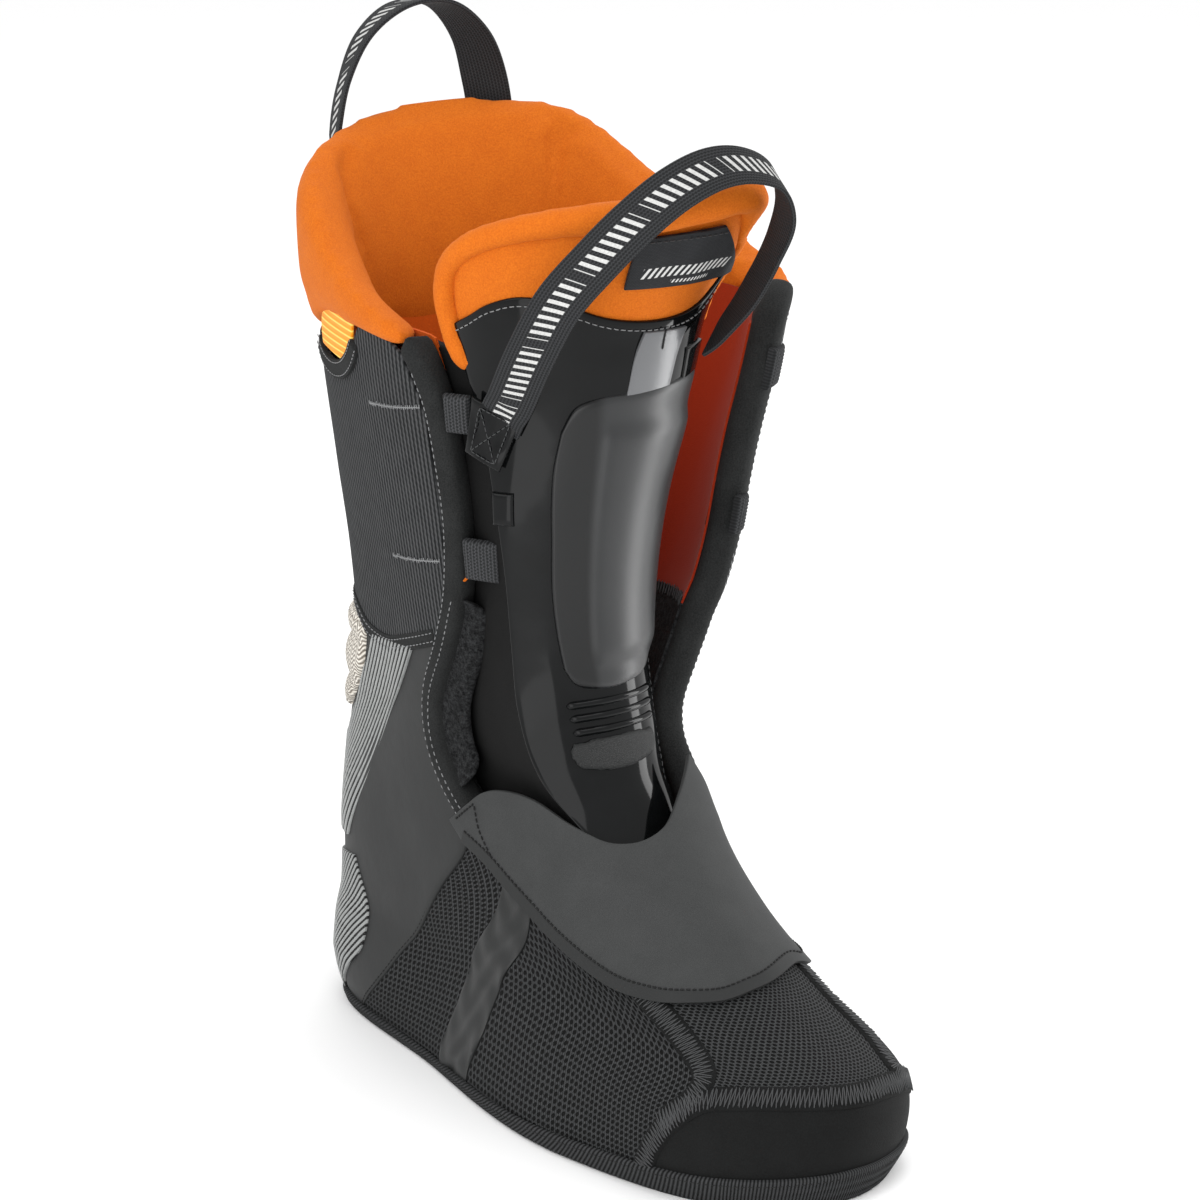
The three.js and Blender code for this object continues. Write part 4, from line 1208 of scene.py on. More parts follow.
def instep():
    top = joined(COVER_TOP_OUTER, COVER_TOP_INNER)
    area = stacked(COVER_BOTTOM, top)
    cover = wall("instep_cover_cloth", area, 2.4, 1.4, INSTEP, pitch=(2, 2), radius=0.5)
    settle(cover, "root", "grey_microfibre", "instep_cover")
    border = [(-2.2, -0.35), (2.2, -0.35), (2.2, 0.3), (-2.2, 0.3)]
    margin = trim("instep_cover_margin", COVER_BOTTOM, border, MARGIN_FILM, depth=2.3, offset=1.9,
                  rounded=False, pitch=1.5)
    settle(margin, "root", "grey_microfibre")
    sewn = stitches("instep_stitching", COVER_BOTTOM, BLACK_THREAD, depth=2.6, offset=4.6,
                    pitch=2.3, length=1.6, radius=0.36)
    settle(sewn, "root", "grey_microfibre")
    corner = [(0.256, 99.5), (0.268, 104), (0.281, 108.5)]
    for name, line in (("top", corner), ("slant", [(0.281, 108), (0.278, 99), (0.282, 91)])):
        row = stitches(f"instep_corner_stitching_{name}", line, BLACK_THREAD, depth=2.55, pitch=2.2,
                       length=1.6, radius=0.36)
        settle(row, "root", "grey_microfibre")


# ---------------------------------------------------------------- cuff

def cuff_panel(name, sign):
    """The knit of the cuff with its double-stitched hem."""
    stands = ("lateral_flap_panel", "cuff_back_panel") if sign > 0 else ("medial_flap_panel",)
    bottom, top, front = KNIT_BOTTOM[name], KNIT_TOP[name], KNIT_FRONT[name]
    panel = wall(f"cuff_knit_{name}", side_frame(sign, bottom, top, front), 0.5, 1.3, KNIT,
                 pitch=(2.2, 2.4), plain=plain_sides(sign, "l"), weave="skin")
    settle(panel, name, "cuff_knit", *stands)
    hem_area = stacked(*(signed(sign, line)[::sign] for line in (bottom, raised(bottom, 6.5))))
    hem = wall(f"cuff_hem_{name}", hem_area, 1.05, 0.9, BINDING, pitch=(2.5, 1), radius=0.4,
               plain=plain_sides(sign, "l"))
    settle(hem, name, "cuff_knit")
    for row, up in enumerate((1.8, 5.0)):
        line = signed(sign, raised(bottom, up))
        dashes = stitches(f"cuff_hem_stitching_{name}_{row + 1}", line, GREY_THREAD, depth=1.2,
                          pitch=2.7, length=1.5, radius=0.22)
        settle(dashes, name, "cuff_knit")


# The edge binding's section round the padded edge; the inner flap's reaches further in.
BINDING_OUTSIDE = [(6.2, 0.1), (5.6, 0.75), (3, 1.15), (0.4, 0.9), (-1.4, -0.4), (-2.3, -2.6),
    (-2.5, -5), (-2.1, -7.6), (-0.6, -9.6), (1.6, -10.6)]
BINDING_REACH = {"lateral": [(5.5, -10.9), (5.8, -9.6)], "medial": [(9.5, -11.9), (9.6, -10.2)]}
BINDING_INSIDE = [(2, -8.6), (1, -5), (2, -1.4)]


def flap_edge(name, sign):
    """The rounded binding down a flap's front edge, with its stitches."""
    edge = FLAP_FRONT[name]
    rim = BINDING_OUTSIDE + BINDING_REACH[name] + BINDING_INSIDE
    binding = trim(f"edge_binding_{name}", signed(sign, edge), section_for(sign, rim), BINDING,
                   ends=4, pitch=2.2)
    settle(binding, name, "black_binding", f"{name}_edge_binding")
    for row, (away, depth) in enumerate(((5.4, 0.85), (1.3, 1.15))):
        line = signed(sign, edge[:6] if row else edge[:-1])
        dashes = stitches(f"edge_stitching_{name}_{row + 1}", line, GREY_THREAD, depth=depth,
                          offset=sign * away, pitch=2.7, length=1.5, radius=0.22)
        settle(dashes, name, "black_binding")


def bar_tacks(name, sign):
    """Rough thread bars that hold each lace loop's tape behind the knit."""
    for row, z in enumerate((256, 197.5)):
        turn = turn_at(z, KNIT_FRONT[name])
        line = [(turn - 0.066, z - 2.4), (turn - 0.034, z - 0.4), (turn - 0.002, z + 2.2)]
        tack = overlock(f"bar_tack_{name}_{row + 1}", signed(sign, line), GREY_THREAD, depth=0.8,
                        half=0.8, pitch=1.2, radius=0.22)
        settle(tack, name, "cuff_knit")
        core = stitches(f"bar_tack_core_{name}_{row + 1}", signed(sign, line), GREY_THREAD,
                        depth=0.8, pitch=2.4, length=2.8, radius=0.24)
        settle(core, name, "cuff_knit")


FLEECE_STRIP = [(7, -3.4), (1, -3.2), (-4, -4.2), (-6.6, -6.4), (-6.6, -8), (-4, -8.6), (1, -8.2), (7, -8)]
CORNER_STRIP = [(3, -4.6), (-2.2, -4.8), (-3.0, -6), (-2.2, -7.2), (3, -7.2)]


def lining_edges():
    """The fleece and the orange lining that show past the outer flap's edge."""
    edge = [(turn + 0.012, z) for turn, z in FLAP_FRONT["lateral"][1:6]]
    fleece_edge = trim("fleece_edge_lateral", edge, FLEECE_STRIP, FLEECE, ends=9, pitch=2)
    settle(fleece_edge, "lateral", "black_fleece")
    corner = trim("lining_corner_lateral", [(0.3205, 193), (0.322, 199), (0.323, 206)],
                  CORNER_STRIP, ORANGE, ends=9, pitch=2)
    settle(corner, "lateral", "orange_microfibre")


# Heights where the lining, reddened low down by painted shade, meets the fleece and the collar, and the
# fleece's own limits.
LINING_LOW, COLLAR_INNER = 172, 275
FLEECE_LOW, FLEECE_HIGH, FLEECE_DEPTH, FLEECE_THICKNESS = 8.4, 103, -10.3, 1.1


def linings():
    """Inner cloth: orange from the collar down, then black fleece round the ankle and foot."""
    stands = {"lateral": ("lateral_flap_lining",), "medial": ("medial_flap_lining", "cuff_back_lining")}
    for name, sign in SIDES:
        low, high = LINING_LOW, COLLAR_INNER
        inner = [(turn - 0.003, z) for turn, z in FLAP_FRONT[name]]
        upper_front = [(turn_at(z, inner), z) for z in (low, 195, 220, 245, 265, high + 2)]
        upper_top = [(0, high), (0.12, high), (0.2, high + 6), (0.3, high + 5), upper_front[-1]]
        upper_area = side_frame(sign, [(0, low - 6), upper_front[0]], upper_top, upper_front)
        # The inner side's red lining is the orange cloth reddened by painted shade.
        cloth, slot = (ORANGE_LINING, "orange_microfibre") if sign > 0 else (LINING_RED_BY_PAINTED_SHADE, "red_lining")
        upper = wall(f"cuff_lining_{name}", upper_area, -10.5, 0.8, cloth, pitch=(3, 3), plain="lrbt")
        settle(upper, name, slot, *stands[name])
        lower_front = [(turn_at(z, inner), z) for z in (FLEECE_HIGH, 112, 124, 142, 160, low + 1)]
        lower_area = side_frame(sign, [(0, 100), lower_front[0]], [(0, low - 5), lower_front[-1]],
            lower_front)
        lower = wall(f"ankle_fleece_{name}", lower_area, FLEECE_DEPTH, FLEECE_THICKNESS, FLEECE,
            pitch=(3, 3), plain="lrbt")
        settle(lower, name, "black_fleece")
        seam = signed(sign, [(0.0, low - 5), (0.15, low - 4.5), (upper_front[0][0] - 0.01, low)])
        zigzag = overlock(f"lining_seam_{name}", seam, DARK_THREAD, depth=-11.8, half=2.4, pitch=2.2,
                          radius=0.3)
        settle(zigzag, name, "red_lining")
    up = trim("lining_seam_upright", [(-0.372, 200), (-0.376, 230), (-0.378, 262), (-0.366, 281)],
              [(-0.5, -0.3), (0.5, -0.3), (0.5, 0.3), (-0.5, 0.3)], BLACK_THREAD, depth=-11.3, pitch=3)
    settle(up, "medial", "red_lining")
    fore_top = [(0.16, FLEECE_HIGH), (0.25, 104), (0.3, 97), (0.36, 90), (0.5, 88), (0.62, 90),
                (0.66, 98), (0.7, FLEECE_HIGH), (0.84, FLEECE_HIGH)]
    fore_area = stacked([(turn, FLEECE_LOW) for turn in (0.16, 0.5, 0.84)], fore_top)
    fore = wall("forefoot_fleece", fore_area, FLEECE_DEPTH, FLEECE_THICKNESS, FLEECE, pitch=(4, 4),
                plain="lrbt")
    settle(fore, "root", "black_fleece", "forefoot_lining")
    heel_area = between(*([(turn, FLEECE_LOW), (turn, FLEECE_HIGH)] for turn in (-0.165, 0.165)))
    heel = wall("heel_fleece", heel_area, FLEECE_DEPTH, FLEECE_THICKNESS, FLEECE, pitch=(4, 4),
                plain="lrbt")
    settle(heel, "root", "black_fleece", "heel_lining")


# ---------------------------------------------------------------- collar

COLLAR_SECTION = [(-12, 0.02), (-12.6, 0.26), (-11.2, 0.52), (-8, 0.76), (-3.6, 0.94), (1.2, 1.0),
                  (5.2, 0.93), (7.6, 0.74), (7.6, 0.48), (5.2, 0.2), (1.2, 0.03), (-5, 0.0)]
# The crest height at which the roll is at its thickest, in millimetres, and its ends, in turns.
FULL_COLLAR = 50
COLLAR_END, COLLAR_END_ROUND = (0.29, 0.345), 0.02
COLLAR_MIDDLE, COLLAR_SEAM_X = -3, 9.0


def collar():
    """The padded collar as one closed roll, swollen as cloth and cut at the back seam."""
    turn = np.linspace(-COLLAR_END[1], COLLAR_END[0], 150)
    base = profile(COLLAR_BASE, turn)
    height = profile(COLLAR_CREST, turn) - base
    puff = np.clip(height / FULL_COLLAR, 0, 1)
    away = np.clip(np.minimum(turn + COLLAR_END[1], COLLAR_END[0] - turn) / COLLAR_END_ROUND, 0, 1)
    ends = np.sqrt(np.clip(1 - (1 - away) ** 2, 0.05, 1))
    section = catmull(COLLAR_SECTION, 4, closed=True)
    depth = np.where(section[:, 0] > 0, section[:, 0] * puff[:, None], section[:, 0])
    depth = COLLAR_MIDDLE + (depth - COLLAR_MIDDLE) * ends[:, None]
    up = 0.5 + (section[:, 1] - 0.5) * ends[:, None]
    rings = skin(turn[:, None] + 0 * depth, base[:, None] + height[:, None] * up, depth)
    whole = swept("collar_roll", rings, ORANGE, sharp=0)
    puffed(whole, voxel=3.2, cap=1.6)
    stands = {"lateral": ("collar_lateral", "collar_back"), "medial": ("collar_medial",)}
    other = whole.copy()
    other.data = whole.data.copy()
    bpy.context.scene.collection.objects.link(other)
    for (name, sign), half in zip(SIDES, (other, whole)):
        half.name = f"collar_roll_{name}"
        bm = bmesh.new()
        bm.from_mesh(half.data)
        bmesh.ops.bisect_plane(bm, geom=[*bm.verts, *bm.edges, *bm.faces], dist=1e-7,
            plane_co=(COLLAR_SEAM_X * MM, 0, 0), plane_no=(sign, 0, 0), clear_outer=True)
        bm.to_mesh(half.data)
        bm.free()
        settle(half, name, "orange_microfibre", *stands[name])


def collar_insert():
    """A small striped window under the collar, edged by a stitched black band."""
    for name, sign in SIDES:
        left = [(0.148, 266), (0.147, 272), (0.150, 280)]
        right = [(0.204, 264), (0.213, 271), (0.222, 284)]
        insert = wall(f"collar_window_{name}", sided(sign, left, right), 1.0, 0.9, YELLOW,
                      pitch=(2, 2), radius=0.4, weave="skin")
        settle(insert, name, "orange_microfibre")
        border = [(0.136, 267), (0.146, 262), (0.168, 259.5), (0.19, 261.5), (0.209, 267), (0.222, 274)]
        band = trim(f"collar_window_band_{name}", signed(sign, border), section_for(sign, [(-3.6, 0.2),
            (3.6, 0.2), (3.4, 1.5), (-3.4, 1.5)]), BINDING, ends=2, rounded=False, depth=0.2, pitch=1.2)
        settle(band, name, "black_binding")
        for row, away in enumerate((-2.4, 2.4)):
            dashes = stitches(f"collar_window_stitching_{name}_{row + 1}", signed(sign, border),
                              GREY_THREAD, depth=1.85, offset=away, pitch=2.2, length=1.4, radius=0.2)
            settle(dashes, name, "black_binding")


# ---------------------------------------------------------------- tongue

# Outlines on the tongue as [across, height]: bottom, top, left and right, or left and right only.
SHELL_TOP = [(-1.06, 289), (-0.88, 294), (-0.75, 298.5), (-0.55, 302.5), (-0.38, 302), (-0.2, 299),
    (0.0, 295), (0.22, 292.7), (0.45, 292), (0.67, 293), (0.84, 296), (0.94, 301), (0.95, 307), (0.9, 312)]
SHELL = ([(-0.62, 100), (0.0, 98), (0.98, 100)], SHELL_TOP, [(-0.62, 100), (-0.78, 112), (-0.96, 126),
    (-0.92, 148), (-0.8, 171), (-0.75, 195), (-0.77, 217), (-0.84, 239), (-0.95, 262), (-1.04, 280),
    (-1.06, 289)], [(0.98, 100), (0.97, 140), (0.97, 200), (0.98, 260), (1.02, 285), (1.03, 298),
    (1.0, 306), (0.9, 312)],)
SHELL_SIDE = [(0.925, 262), (0.915, 220), (0.9, 180), (0.88, 150), (0.86, 125), (0.84, 108)]
PADDING = ([(-0.58, 103), (0.9, 103)], [(-1.0, 318), (-0.5, 329), (0.2, 333), (0.64, 329)], [(-0.58, 103),
    (-0.7, 112), (-0.88, 126), (-0.84, 148), (-0.72, 172), (-0.66, 200), (-0.7, 222), (-0.8, 243),
    (-0.93, 265), (-1.05, 290), (-1.0, 318)], [(0.9, 103), (0.93, 150), (0.96, 220), (1.02, 280),
    (1.04, 297), (0.9, 310), (0.75, 319), (0.64, 329)],)
RIM = [(-0.98, 272), (-1.06, 282), (-1.1, 294), (-1.05, 309), (-0.88, 320.5), (-0.6, 327.5), (-0.3, 330.5),
    (0, 331.5), (0.25, 334), (0.45, 335.5), (0.58, 333.5), (0.64, 327.5), (0.74, 319), (0.88, 311),
    (1.02, 300), (1.06, 288), (1.04, 276)]
RIM_RADIUS = 5.4
PLATE_AREA = ([(-0.34, 166), (-0.26, 160), (-0.02, 157.5), (0.3, 157.5), (0.62, 159.5), (0.82, 166)],
    [(-0.31, 254), (-0.22, 262.5), (-0.05, 266), (0.25, 267), (0.6, 268), (0.9, 269)], [(-0.34, 166),
    (-0.36, 192), (-0.35, 214), (-0.35, 240), (-0.31, 254)], [(0.82, 166), (0.87, 190), (0.88, 220),
    (0.9, 245), (0.9, 269)],)
LEATHER_AREA = ([(-0.44, 130.5), (-0.2, 129.2), (0.2, 129), (0.58, 130.5)], [(-0.44, 139.3),
    (-0.2, 140.6), (0.2, 141), (0.62, 139.5)], [(-0.44, 130.5), (-0.5, 135), (-0.44, 139.3)], [(0.58,
    130.5), (0.66, 135), (0.62, 139.5)],)
# The grey strip's outline: a painted reflection, where the gloss shell reflects light.
PAINTED_REFLECTION_AREA = ([(0.13, 264), (0.19, 279), (0.26, 289)], [(0.5, 265), (0.56, 279), (0.62, 288)])
STUD_AREA = ([(-0.8, 219), (-0.8, 231)], [(-0.63, 219), (-0.63, 231)])
LABEL_AREA = ([(0.05, 305.8), (-0.02, 324)], [(0.93, 304.8), (0.46, 325.7)])
KEEPER_AREA = ([(-0.99, 244.8), (-0.91, 265.6)], [(-0.72, 239.2), (-0.57, 258.4)])
ANCHOR_AREA = ([(0.66, 262), (0.68, 279)], [(0.95, 262), (0.97, 279)])
# The keeper's stitched box, from its lower outer corner round, and the heights of the flex ribs.
KEEPER_BOX = [(-0.93, 245.6), (-0.85, 262.2), (-0.635, 257.5), (-0.75, 241.8)]
FLEX_RIBS = (143.4, 148.2, 153.0)
FLEX_RIB = [(-1.5, -0.3), (1.5, -0.3), (1.2, 1.1), (0, 1.7), (-1.2, 1.1)]

tongue_wall = partial(wall, surface=tongue)
tongue_trim = partial(trim, surface=tongue)
tongue_stitches = partial(stitches, surface=tongue)


def tongue_patch(*lines):
    """A patch on the tongue within four lines, or between two."""
    patch = framed if len(lines) == 4 else between
    return patch(*(as_line(line, tongue) for line in lines))


def tongue_shell():
    """The glossy shell, from under the instep cover to its stitched upper edge."""
    shell = tongue_wall("tongue_gloss_shell", tongue_patch(*SHELL), 0, 1.8, GLOSS, pitch=(2, 2.2),
        relief=shell_folds, radius=0.8)
    settle(shell, "tongue", "gloss_shell", "tongue_shell", "tongue_base_shell")
    dashes = tongue_stitches("tongue_shell_stitching", raised(SHELL_TOP[:-2], -3.0), GREY_THREAD,
        depth=0.25, pitch=2.7, length=1.9, radius=0.24)
    settle(dashes, "tongue_body", "gloss_shell")
    dashes = tongue_stitches("tongue_side_stitching", SHELL_SIDE, DARK_THREAD, depth=0.2, pitch=2.7,
        length=1.8, radius=0.2)
    settle(dashes, "tongue", "gloss_shell")


def tongue_padding():
    pad = tongue_wall("tongue_padding", tongue_patch(*PADDING), -1.6, 9.0, ORANGE, pitch=(3, 3),
        radius=3.5, relief=tongue_crown)
    settle(pad, "tongue", "orange_microfibre", "tongue_foam", "tongue_base_foam", "tongue_top_panel")
    side = tongue_patch([(0, 103), (0, 278)], [(1, 103), (1, 278)])
    wing = wall("tongue_wing_lateral", side, 0, 3.5, TONGUE_SIDE, pitch=(2, 3), surface=wing_surface,
        radius=1.2)
    settle(wing, "tongue", "black_fleece")


def tongue_rim():
    """The rolled edge round the tongue's top, thickest at its crest, swollen as cloth."""
    section = [(RIM_RADIUS * math.cos(a), RIM_RADIUS * math.sin(a))
        for a in np.linspace(0, TAU, 12, endpoint=False)]
    swell = lambda t: ((0.85 + 0.42 * np.exp(-(((t - 0.6) / 0.2) ** 2)))
        * (1 - 0.5 * np.clip((t - 0.69) / 0.07, 0, 1)))
    rim = tongue_trim("tongue_rolled_rim", RIM, section, ORANGE, depth=-1.6, pitch=2.2, ends=9, scale=swell)
    puffed(rim, voxel=2.4, cap=0.9)
    settle(rim, "tongue_body", "orange_microfibre", "tongue_rim")


def tongue_mouldings():
    """The shin plate, the grey strip above it with its slit, and the stud beside it. The grey strip is a
    painted reflection: a pale sheet standing in for light reflected by the gloss shell.
    """
    plate = tongue_wall("shin_plate_moulding", tongue_patch(*PLATE_AREA), 1.2, 1.6, PLATE,
        pitch=(1.0, 1.6), radius=1.1, relief=plate_ridge, weave="tongue")
    settle(plate, "tongue_body", "grey_film", "shin_plate")
    # Painted reflection: a pale grey sheet on the shell in place of reflected light.
    strip = tongue_wall("tongue_grey_strip", tongue_patch(*PAINTED_REFLECTION_AREA), 1.3, 1.2, PAINTED_REFLECTION_STRIP,
        pitch=(2, 2), radius=0.3)
    settle(strip, "tongue_body", "gloss_shell")
    slit = tongue_trim("tongue_strip_slit", [(0.41, 289), (0.40, 282)],
        [(-0.35, -0.1), (0.35, -0.1), (0.35, 0.2), (-0.35, 0.2)], GLOSS, depth=1.35, rounded=False)
    settle(slit, "tongue_body", "gloss_shell")
    stud = tongue_wall("tongue_side_stud", tongue_patch(*STUD_AREA), 1.5, 1.6, GLOSS,
        pitch=(1.5, 1.5), radius=1.3)
    settle(stud, "tongue_body", "gloss_shell")


def tongue_flex_zone():
    """Three ribs where the shell bends, and the leather pad below them, swollen as cloth."""
    for k, z in enumerate(FLEX_RIBS):
        line = [(-0.4, z - 0.6), (-0.2, z - 0.2), (0.15, z), (0.5, z - 0.2), (0.72, z - 0.6)]
        rib = tongue_trim(f"flex_rib_bar_{k + 1}", line, FLEX_RIB, GLOSS, pitch=1.2, ends=3)
        settle(rib, "tongue", "gloss_shell", f"flex_rib_{k + 1}")
    pad = tongue_wall("tongue_leather_pad", tongue_patch(*LEATHER_AREA), 2.3, 2.4, LEATHER,
        pitch=(1.5, 1.5), radius=2.1)
    puffed(pad, voxel=1.2, cap=0.5)
    settle(pad, "tongue", "soft_pad", "tongue_soft_pad")


def tongue_label():
    label = tongue_wall("tongue_woven_label", tongue_patch(*LABEL_AREA), 1.6, 1.4, LABEL,
        pitch=(1.6, 1.6), radius=0.4, weave="tongue", relief=lambda a, z, x, y: 0.3 * np.sin(x / 3.3))
    settle(label, "tongue_body", "tongue_cloth", "tongue_label")
    dashes = tongue_stitches("tongue_label_stitching", [(0.0, 322.6), (0.49, 323.9)], DARK_THREAD,
        depth=2.1, pitch=2.4, length=1.7, radius=0.25)
    settle(dashes, "tongue_body", "tongue_cloth")


def tongue_strap_ends():
    """The wrinkled keeper with its crossed box of stitches, and the anchor on the inner side."""
    keeper = tongue_wall("tongue_keeper_tab", tongue_patch(*KEEPER_AREA), 3.8, 1.4, GLOSS,
        pitch=(1.4, 1.4), radius=0.6, relief=lambda a, z, x, y: 0.35 * np.sin(x / 1.7) * np.sin(y / 2.6))
    settle(keeper, "tongue_body", "webbing", "tongue_tab_lateral")
    for k, stops in enumerate((KEEPER_BOX + KEEPER_BOX[:1], KEEPER_BOX[::2], KEEPER_BOX[1::2])):
        line = Line(stops, TONGUE_LENGTH, sharp=True)
        row = tongue_stitches(f"tongue_keeper_stitching_{k + 1}", line, DARK_THREAD, depth=4.1,
            pitch=2.2, length=1.7, radius=0.22)
        settle(row, "tongue_body", "webbing")
    anchor = tongue_wall("tongue_anchor_medial", tongue_patch(*ANCHOR_AREA), 1.3, 1.2, GLOSS,
        pitch=(1.5, 1.5), radius=0.6)
    settle(anchor, "tongue_body", "webbing", "tongue_tab_medial")


def wing_surface(share, z, depth):
    """A soft wall from inside the outer flap's edge forward to the tongue's outer edge."""
    share, z = np.broadcast_arrays(np.asarray(share, float), np.asarray(z, float))
    back = skin(turn_at(z, FLAP_FRONT["lateral"]) - 0.03, z, -14 + 0 * z)
    across = np.interp(z, (100, 112, 126, 148, 171, 195, 217, 240, 262, 280),
                       (-0.6, -0.73, -0.9, -0.87, -0.74, -0.69, -0.71, -0.79, -0.9, -0.98))
    front = tongue(across, z, -3 + 0 * z)
    middle = (front + back) / 2 + np.array([-3.0, -2.0, 0.0])
    s = share[..., None]
    p = (1 - s) ** 2 * back + 2 * s * (1 - s) * middle + s**2 * front
    out = unit(np.cross(front - back, np.array([0, 0, 1.0])))
    return p + out * np.asarray(depth, float)[..., None]


def shell_folds(across, z, x, y):
    """Shallow creases of the moulded film where the ankle bends, and a soft central ridge."""
    crease = 0.5 * np.exp(-(((z - 120) / 16) ** 2)) * np.sin(z / 4.5 + 2 * across)
    return crease + 0.9 * np.exp(-(((across - 0.35) / 0.5) ** 2)) / (1 + np.exp((z - 281) / 2))


def plate_ridge(across, z, x, y):
    """The plate's raised middle, with soft shoulders."""
    rise = 1 / (1 + np.exp(-(across - 0.0005 * (z - 210) + 0.02) / 0.02))
    fall = 1 / (1 + np.exp(-(z - 168) / 1.5)) / (1 + np.exp((z - 254) / 1.5))
    return 0.7 + 2.2 * rise * fall


def tongue_crown(across, z, x, y):
    """The padding swells above the shell's upper edge."""
    return 1.1 * np.exp(-(((z - 311) / 11) ** 2))


# ---------------------------------------------------------------- straps and loops

TONGUE_PULL = [
    ((-45.2, -71.0, 256), (-0.85, -0.52, -0.05)), ((-46.0, -75.5, 261), (-0.84, -0.54, -0.05)),
    ((-47, -81, 266), (-0.75, -0.65, 0)), ((-48.5, -96, 285), (-0.68, -0.72, 0.15)),
    ((-45.5, -110, 306), (-0.6, -0.7, 0.35)), ((-36.5, -119, 321), (-0.5, -0.7, 0.5)),
    ((-25, -125, 334), (-0.4, -0.7, 0.6)), ((-11, -129.5, 345), (-0.25, -0.7, 0.7)),
    ((3, -131.5, 350.5), (-0.1, -0.65, 0.75)), ((15.5, -132, 350.5), (0.15, -0.6, 0.8)),
    ((28.5, -131, 345), (0.6, -0.45, 0.65)), ((35, -128, 333), (0.9, -0.3, 0.25)),
    ((36, -120, 318), (0.93, -0.35, 0)), ((34, -110, 301.5), (0.9, -0.42, 0)),
    ((30.5, -100, 288), (0.78, -0.62, 0)), ((28.5, -92.5, 280), (0.62, -0.78, 0)),
]
REAR_PULL = [
    ((-24, 80, 312), (-0.3, 1, 0)), ((-21, 83.5, 331), (-0.9, 0.3, 0)),
    ((-16, 85, 350), (-0.95, 0.3, 0.1)), ((-7, 85, 367), (-0.75, 0.2, 0.6)),
    ((8, 84.5, 377), (-0.15, 0.1, 1)), ((25, 84, 376.5), (0.3, 0.2, 0.95)),
    ((38, 83.5, 364), (0.75, 0.5, 0.5)), ((44, 83, 347), (0.6, 0.8, 0.1)),
    ((46, 82, 330), (0.5, 0.9, 0)), ((43, 79, 312), (0.35, 1, 0)),
]
STRAP_WIDTH, STRAP_THICKNESS = 17.5, 1.6


def straps():
    pull = ribbon("tongue_pull_webbing", TONGUE_PULL, STRAP_WIDTH, STRAP_THICKNESS, PRINTED)
    settle(pull, "tongue_pull", "webbing", "tongue_pull_strap")
    rear = ribbon("rear_pull_webbing", REAR_PULL, STRAP_WIDTH, STRAP_THICKNESS, PRINTED)
    settle(rear, "rear_pull", "webbing", "rear_pull_strap")
    for name, sign in SIDES:
        patch = lambda u, v: (sign * 0.055 + (u - 0.5) * 0.038, 288 + 20 * v)
        anchor = wall(f"rear_anchor_{name}", patch, 10.3, 2.0, WEBBING, pitch=(1.5, 1.5), radius=0.6)
        settle(anchor, "root", "webbing", f"rear_pull_anchor_{name}")
        for row, z in enumerate((291, 305)):
            line = [(sign * 0.055 - 0.015, z), (sign * 0.055 + 0.015, z)]
            tack = overlock(f"rear_anchor_stitching_{name}_{row + 1}", line, GREY_THREAD, depth=10.5,
                            half=1.2, pitch=0.9, radius=0.25)
            settle(tack, "root", "webbing")


# name, side, turn, height, how far it stands out in turn, half width in millimetres
LACE_LOOPS = [
    ("lateral_upper", 1, 0.320, 257, 0.021, 7.0),
    ("lateral_lower", 1, 0.324, 202, 0.034, 7.5),
    ("medial_upper", -1, 0.384, 264, 0.024, 7.5),
    ("medial_lower", -1, 0.394, 210, 0.018, 7.0),
]


def lace_loops():
    for name, sign, turn, z, reach, half in LACE_LOOPS:
        area = sided(sign, [(turn, z - half), (turn, z + half)],
                     [(turn + reach, z - half), (turn + reach, z + half)])
        loop = wall(f"lace_loop_{name}_tape", area, 0.9 if sign > 0 else 2.6, 3.2,
            LOOP_TAPE if sign > 0 else WEBBING, pitch=(1, 0.3), radius=1.4, relief=loop_ribs)
        settle(loop, f"lace_loop_{name}", "webbing", f"lace_loop_{name}")


def loop_ribs(turn, z, x, y):
    """Woven ribs across a folded loop that swells in the middle."""
    return 0.16 * np.cos(TAU * y / 1.3) + 0.5 * np.sin(math.pi * x / max(x.max(), 1))


# ---------------------------------------------------------------- stage

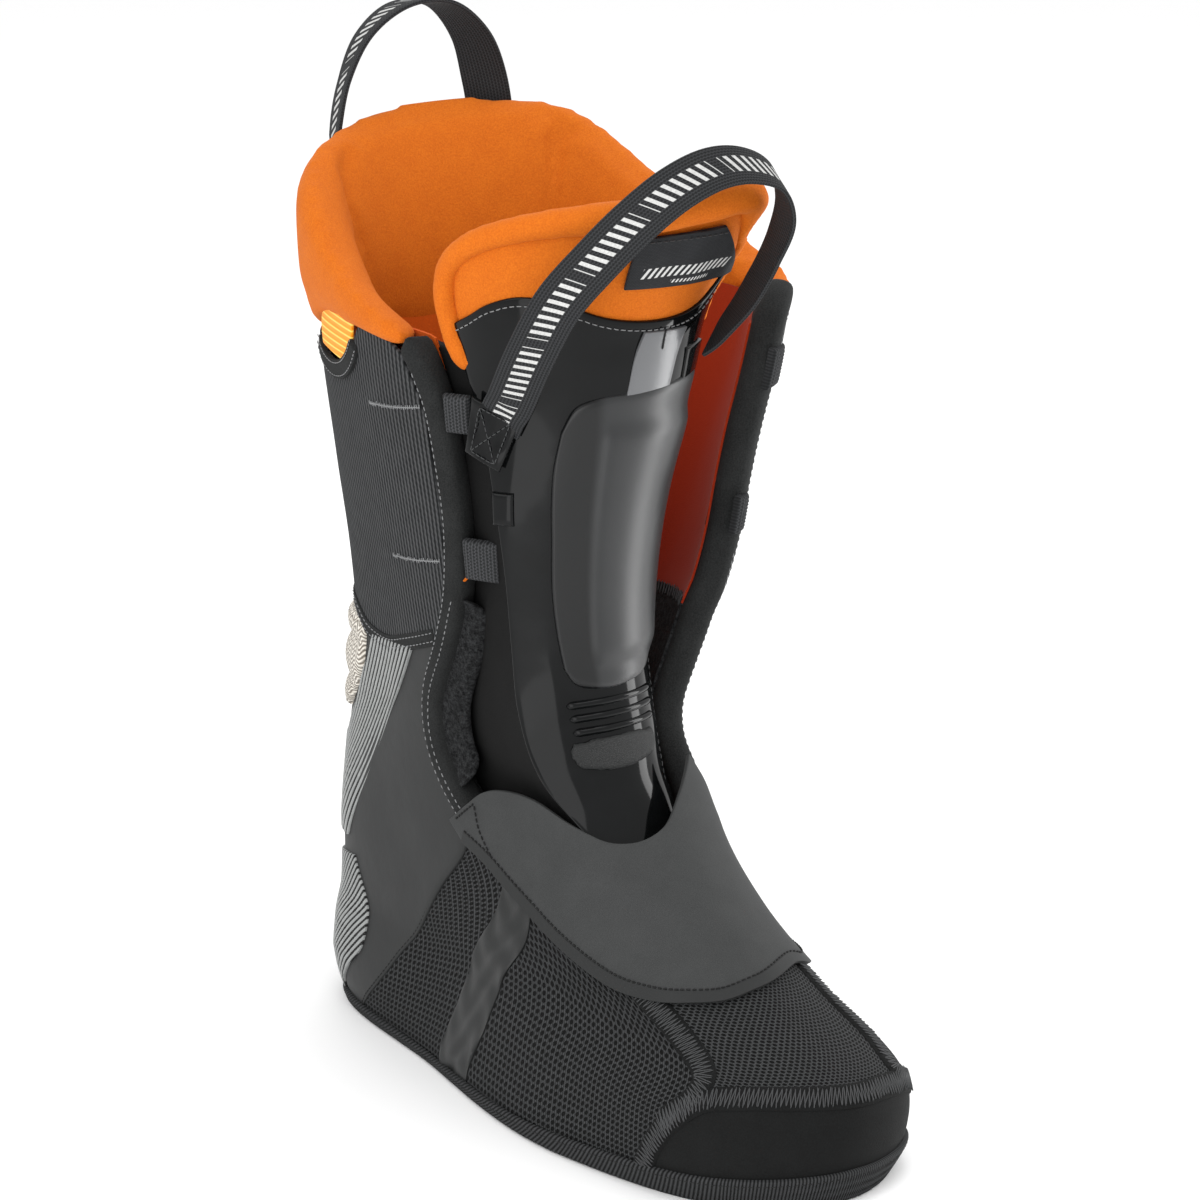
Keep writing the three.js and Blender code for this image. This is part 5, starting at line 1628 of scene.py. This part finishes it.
def stage():
    scene = bpy.context.scene
    world = bpy.data.worlds.new("studio")
    scene.world = world
    world.use_nodes = True
    world.node_tree.nodes["Background"].inputs["Color"].default_value = (1, 1, 1, 1)
    world.node_tree.nodes["Background"].inputs["Strength"].default_value = 1.0
    floor = bpy.data.meshes.new("floor")
    corners = [(-30, -30, 0), (30, -30, 0), (30, 30, 0), (-30, 30, 0)]
    floor.from_pydata(corners, [], [(0, 1, 2, 3)])
    ground = bpy.data.objects.new("floor", floor)
    scene.collection.objects.link(ground)
    paint = bpy.data.materials.new("floor")
    paint.use_nodes = True
    shader = paint.node_tree.nodes["Principled BSDF"]
    shader.inputs["Base Color"].default_value = (0.97, 0.97, 0.97, 1)
    shader.inputs["Roughness"].default_value = 0.9
    floor.materials.append(paint)
    for light in LIGHTS:
        lamp(*light)


# name, azimuth and elevation in degrees, distance, width, height in metres, watts
LIGHTS = [
    ("key", -80, 42, 1.6, 1.0, 1.0, 4.2), ("top", 20, 70, 1.7, 1.0, 1.0, 5.0),
    ("back", 150, 50, 1.6, 0.9, 0.9, 4.5), ("strip_right", 66, 0, 0.42, 0.12, 0.4, 0.95),
    ("strip_left", -50, 0, 0.6, 0.4, 0.7, 1.6),
]


def towards(azimuth, elevation):
    """The direction at these angles in degrees; azimuth 0 is in front of the toe."""
    a, e = math.radians(azimuth), math.radians(elevation)
    return Vector((math.sin(a) * math.cos(e), -math.cos(a) * math.cos(e), math.sin(e)))


def lamp(name, azimuth, elevation, distance, width, height, power):
    centre = Vector((0.01, -0.05, 0.18 if elevation else height / 2))
    light = bpy.data.lights.new(name, "AREA")
    light.shape, light.size, light.size_y, light.energy = "RECTANGLE", width, height, power
    source = bpy.data.objects.new(name, light)
    source.location = centre + distance * towards(azimuth, elevation)
    source.rotation_euler = (centre - source.location).to_track_quat("-Z", "Y").to_euler()
    source.visible_camera = False
    bpy.context.scene.collection.objects.link(source)


def camera():
    back, distance = towards(-33, 16.5), 1.6
    target = Vector((0.01007, -0.0501, 0.1782))
    lens = bpy.data.cameras.new("camera")
    lens.lens, lens.sensor_width = 132.5, 36
    lens.clip_end = 100
    view = bpy.data.objects.new("camera", lens)
    view.location = target + back * distance
    view.rotation_euler = back.to_track_quat("Z", "Y").to_euler()
    bpy.context.scene.collection.objects.link(view)
    bpy.context.scene.camera = view
    bpy.context.scene.view_settings.view_transform = "Standard"


camera()
stage()
sole()
foot_covers()
vamp()
toe_seams()
heel_stripes()
achilles()
instep()
for side in SIDES:
    cuff_panel(*side)
    flap_edge(*side)
    bar_tacks(*side)
lining_edges()
linings()
collar()
collar_insert()
tongue_shell()
tongue_padding()
tongue_rim()
tongue_mouldings()
tongue_flex_zone()
tongue_label()
tongue_strap_ends()
straps()
lace_loops()
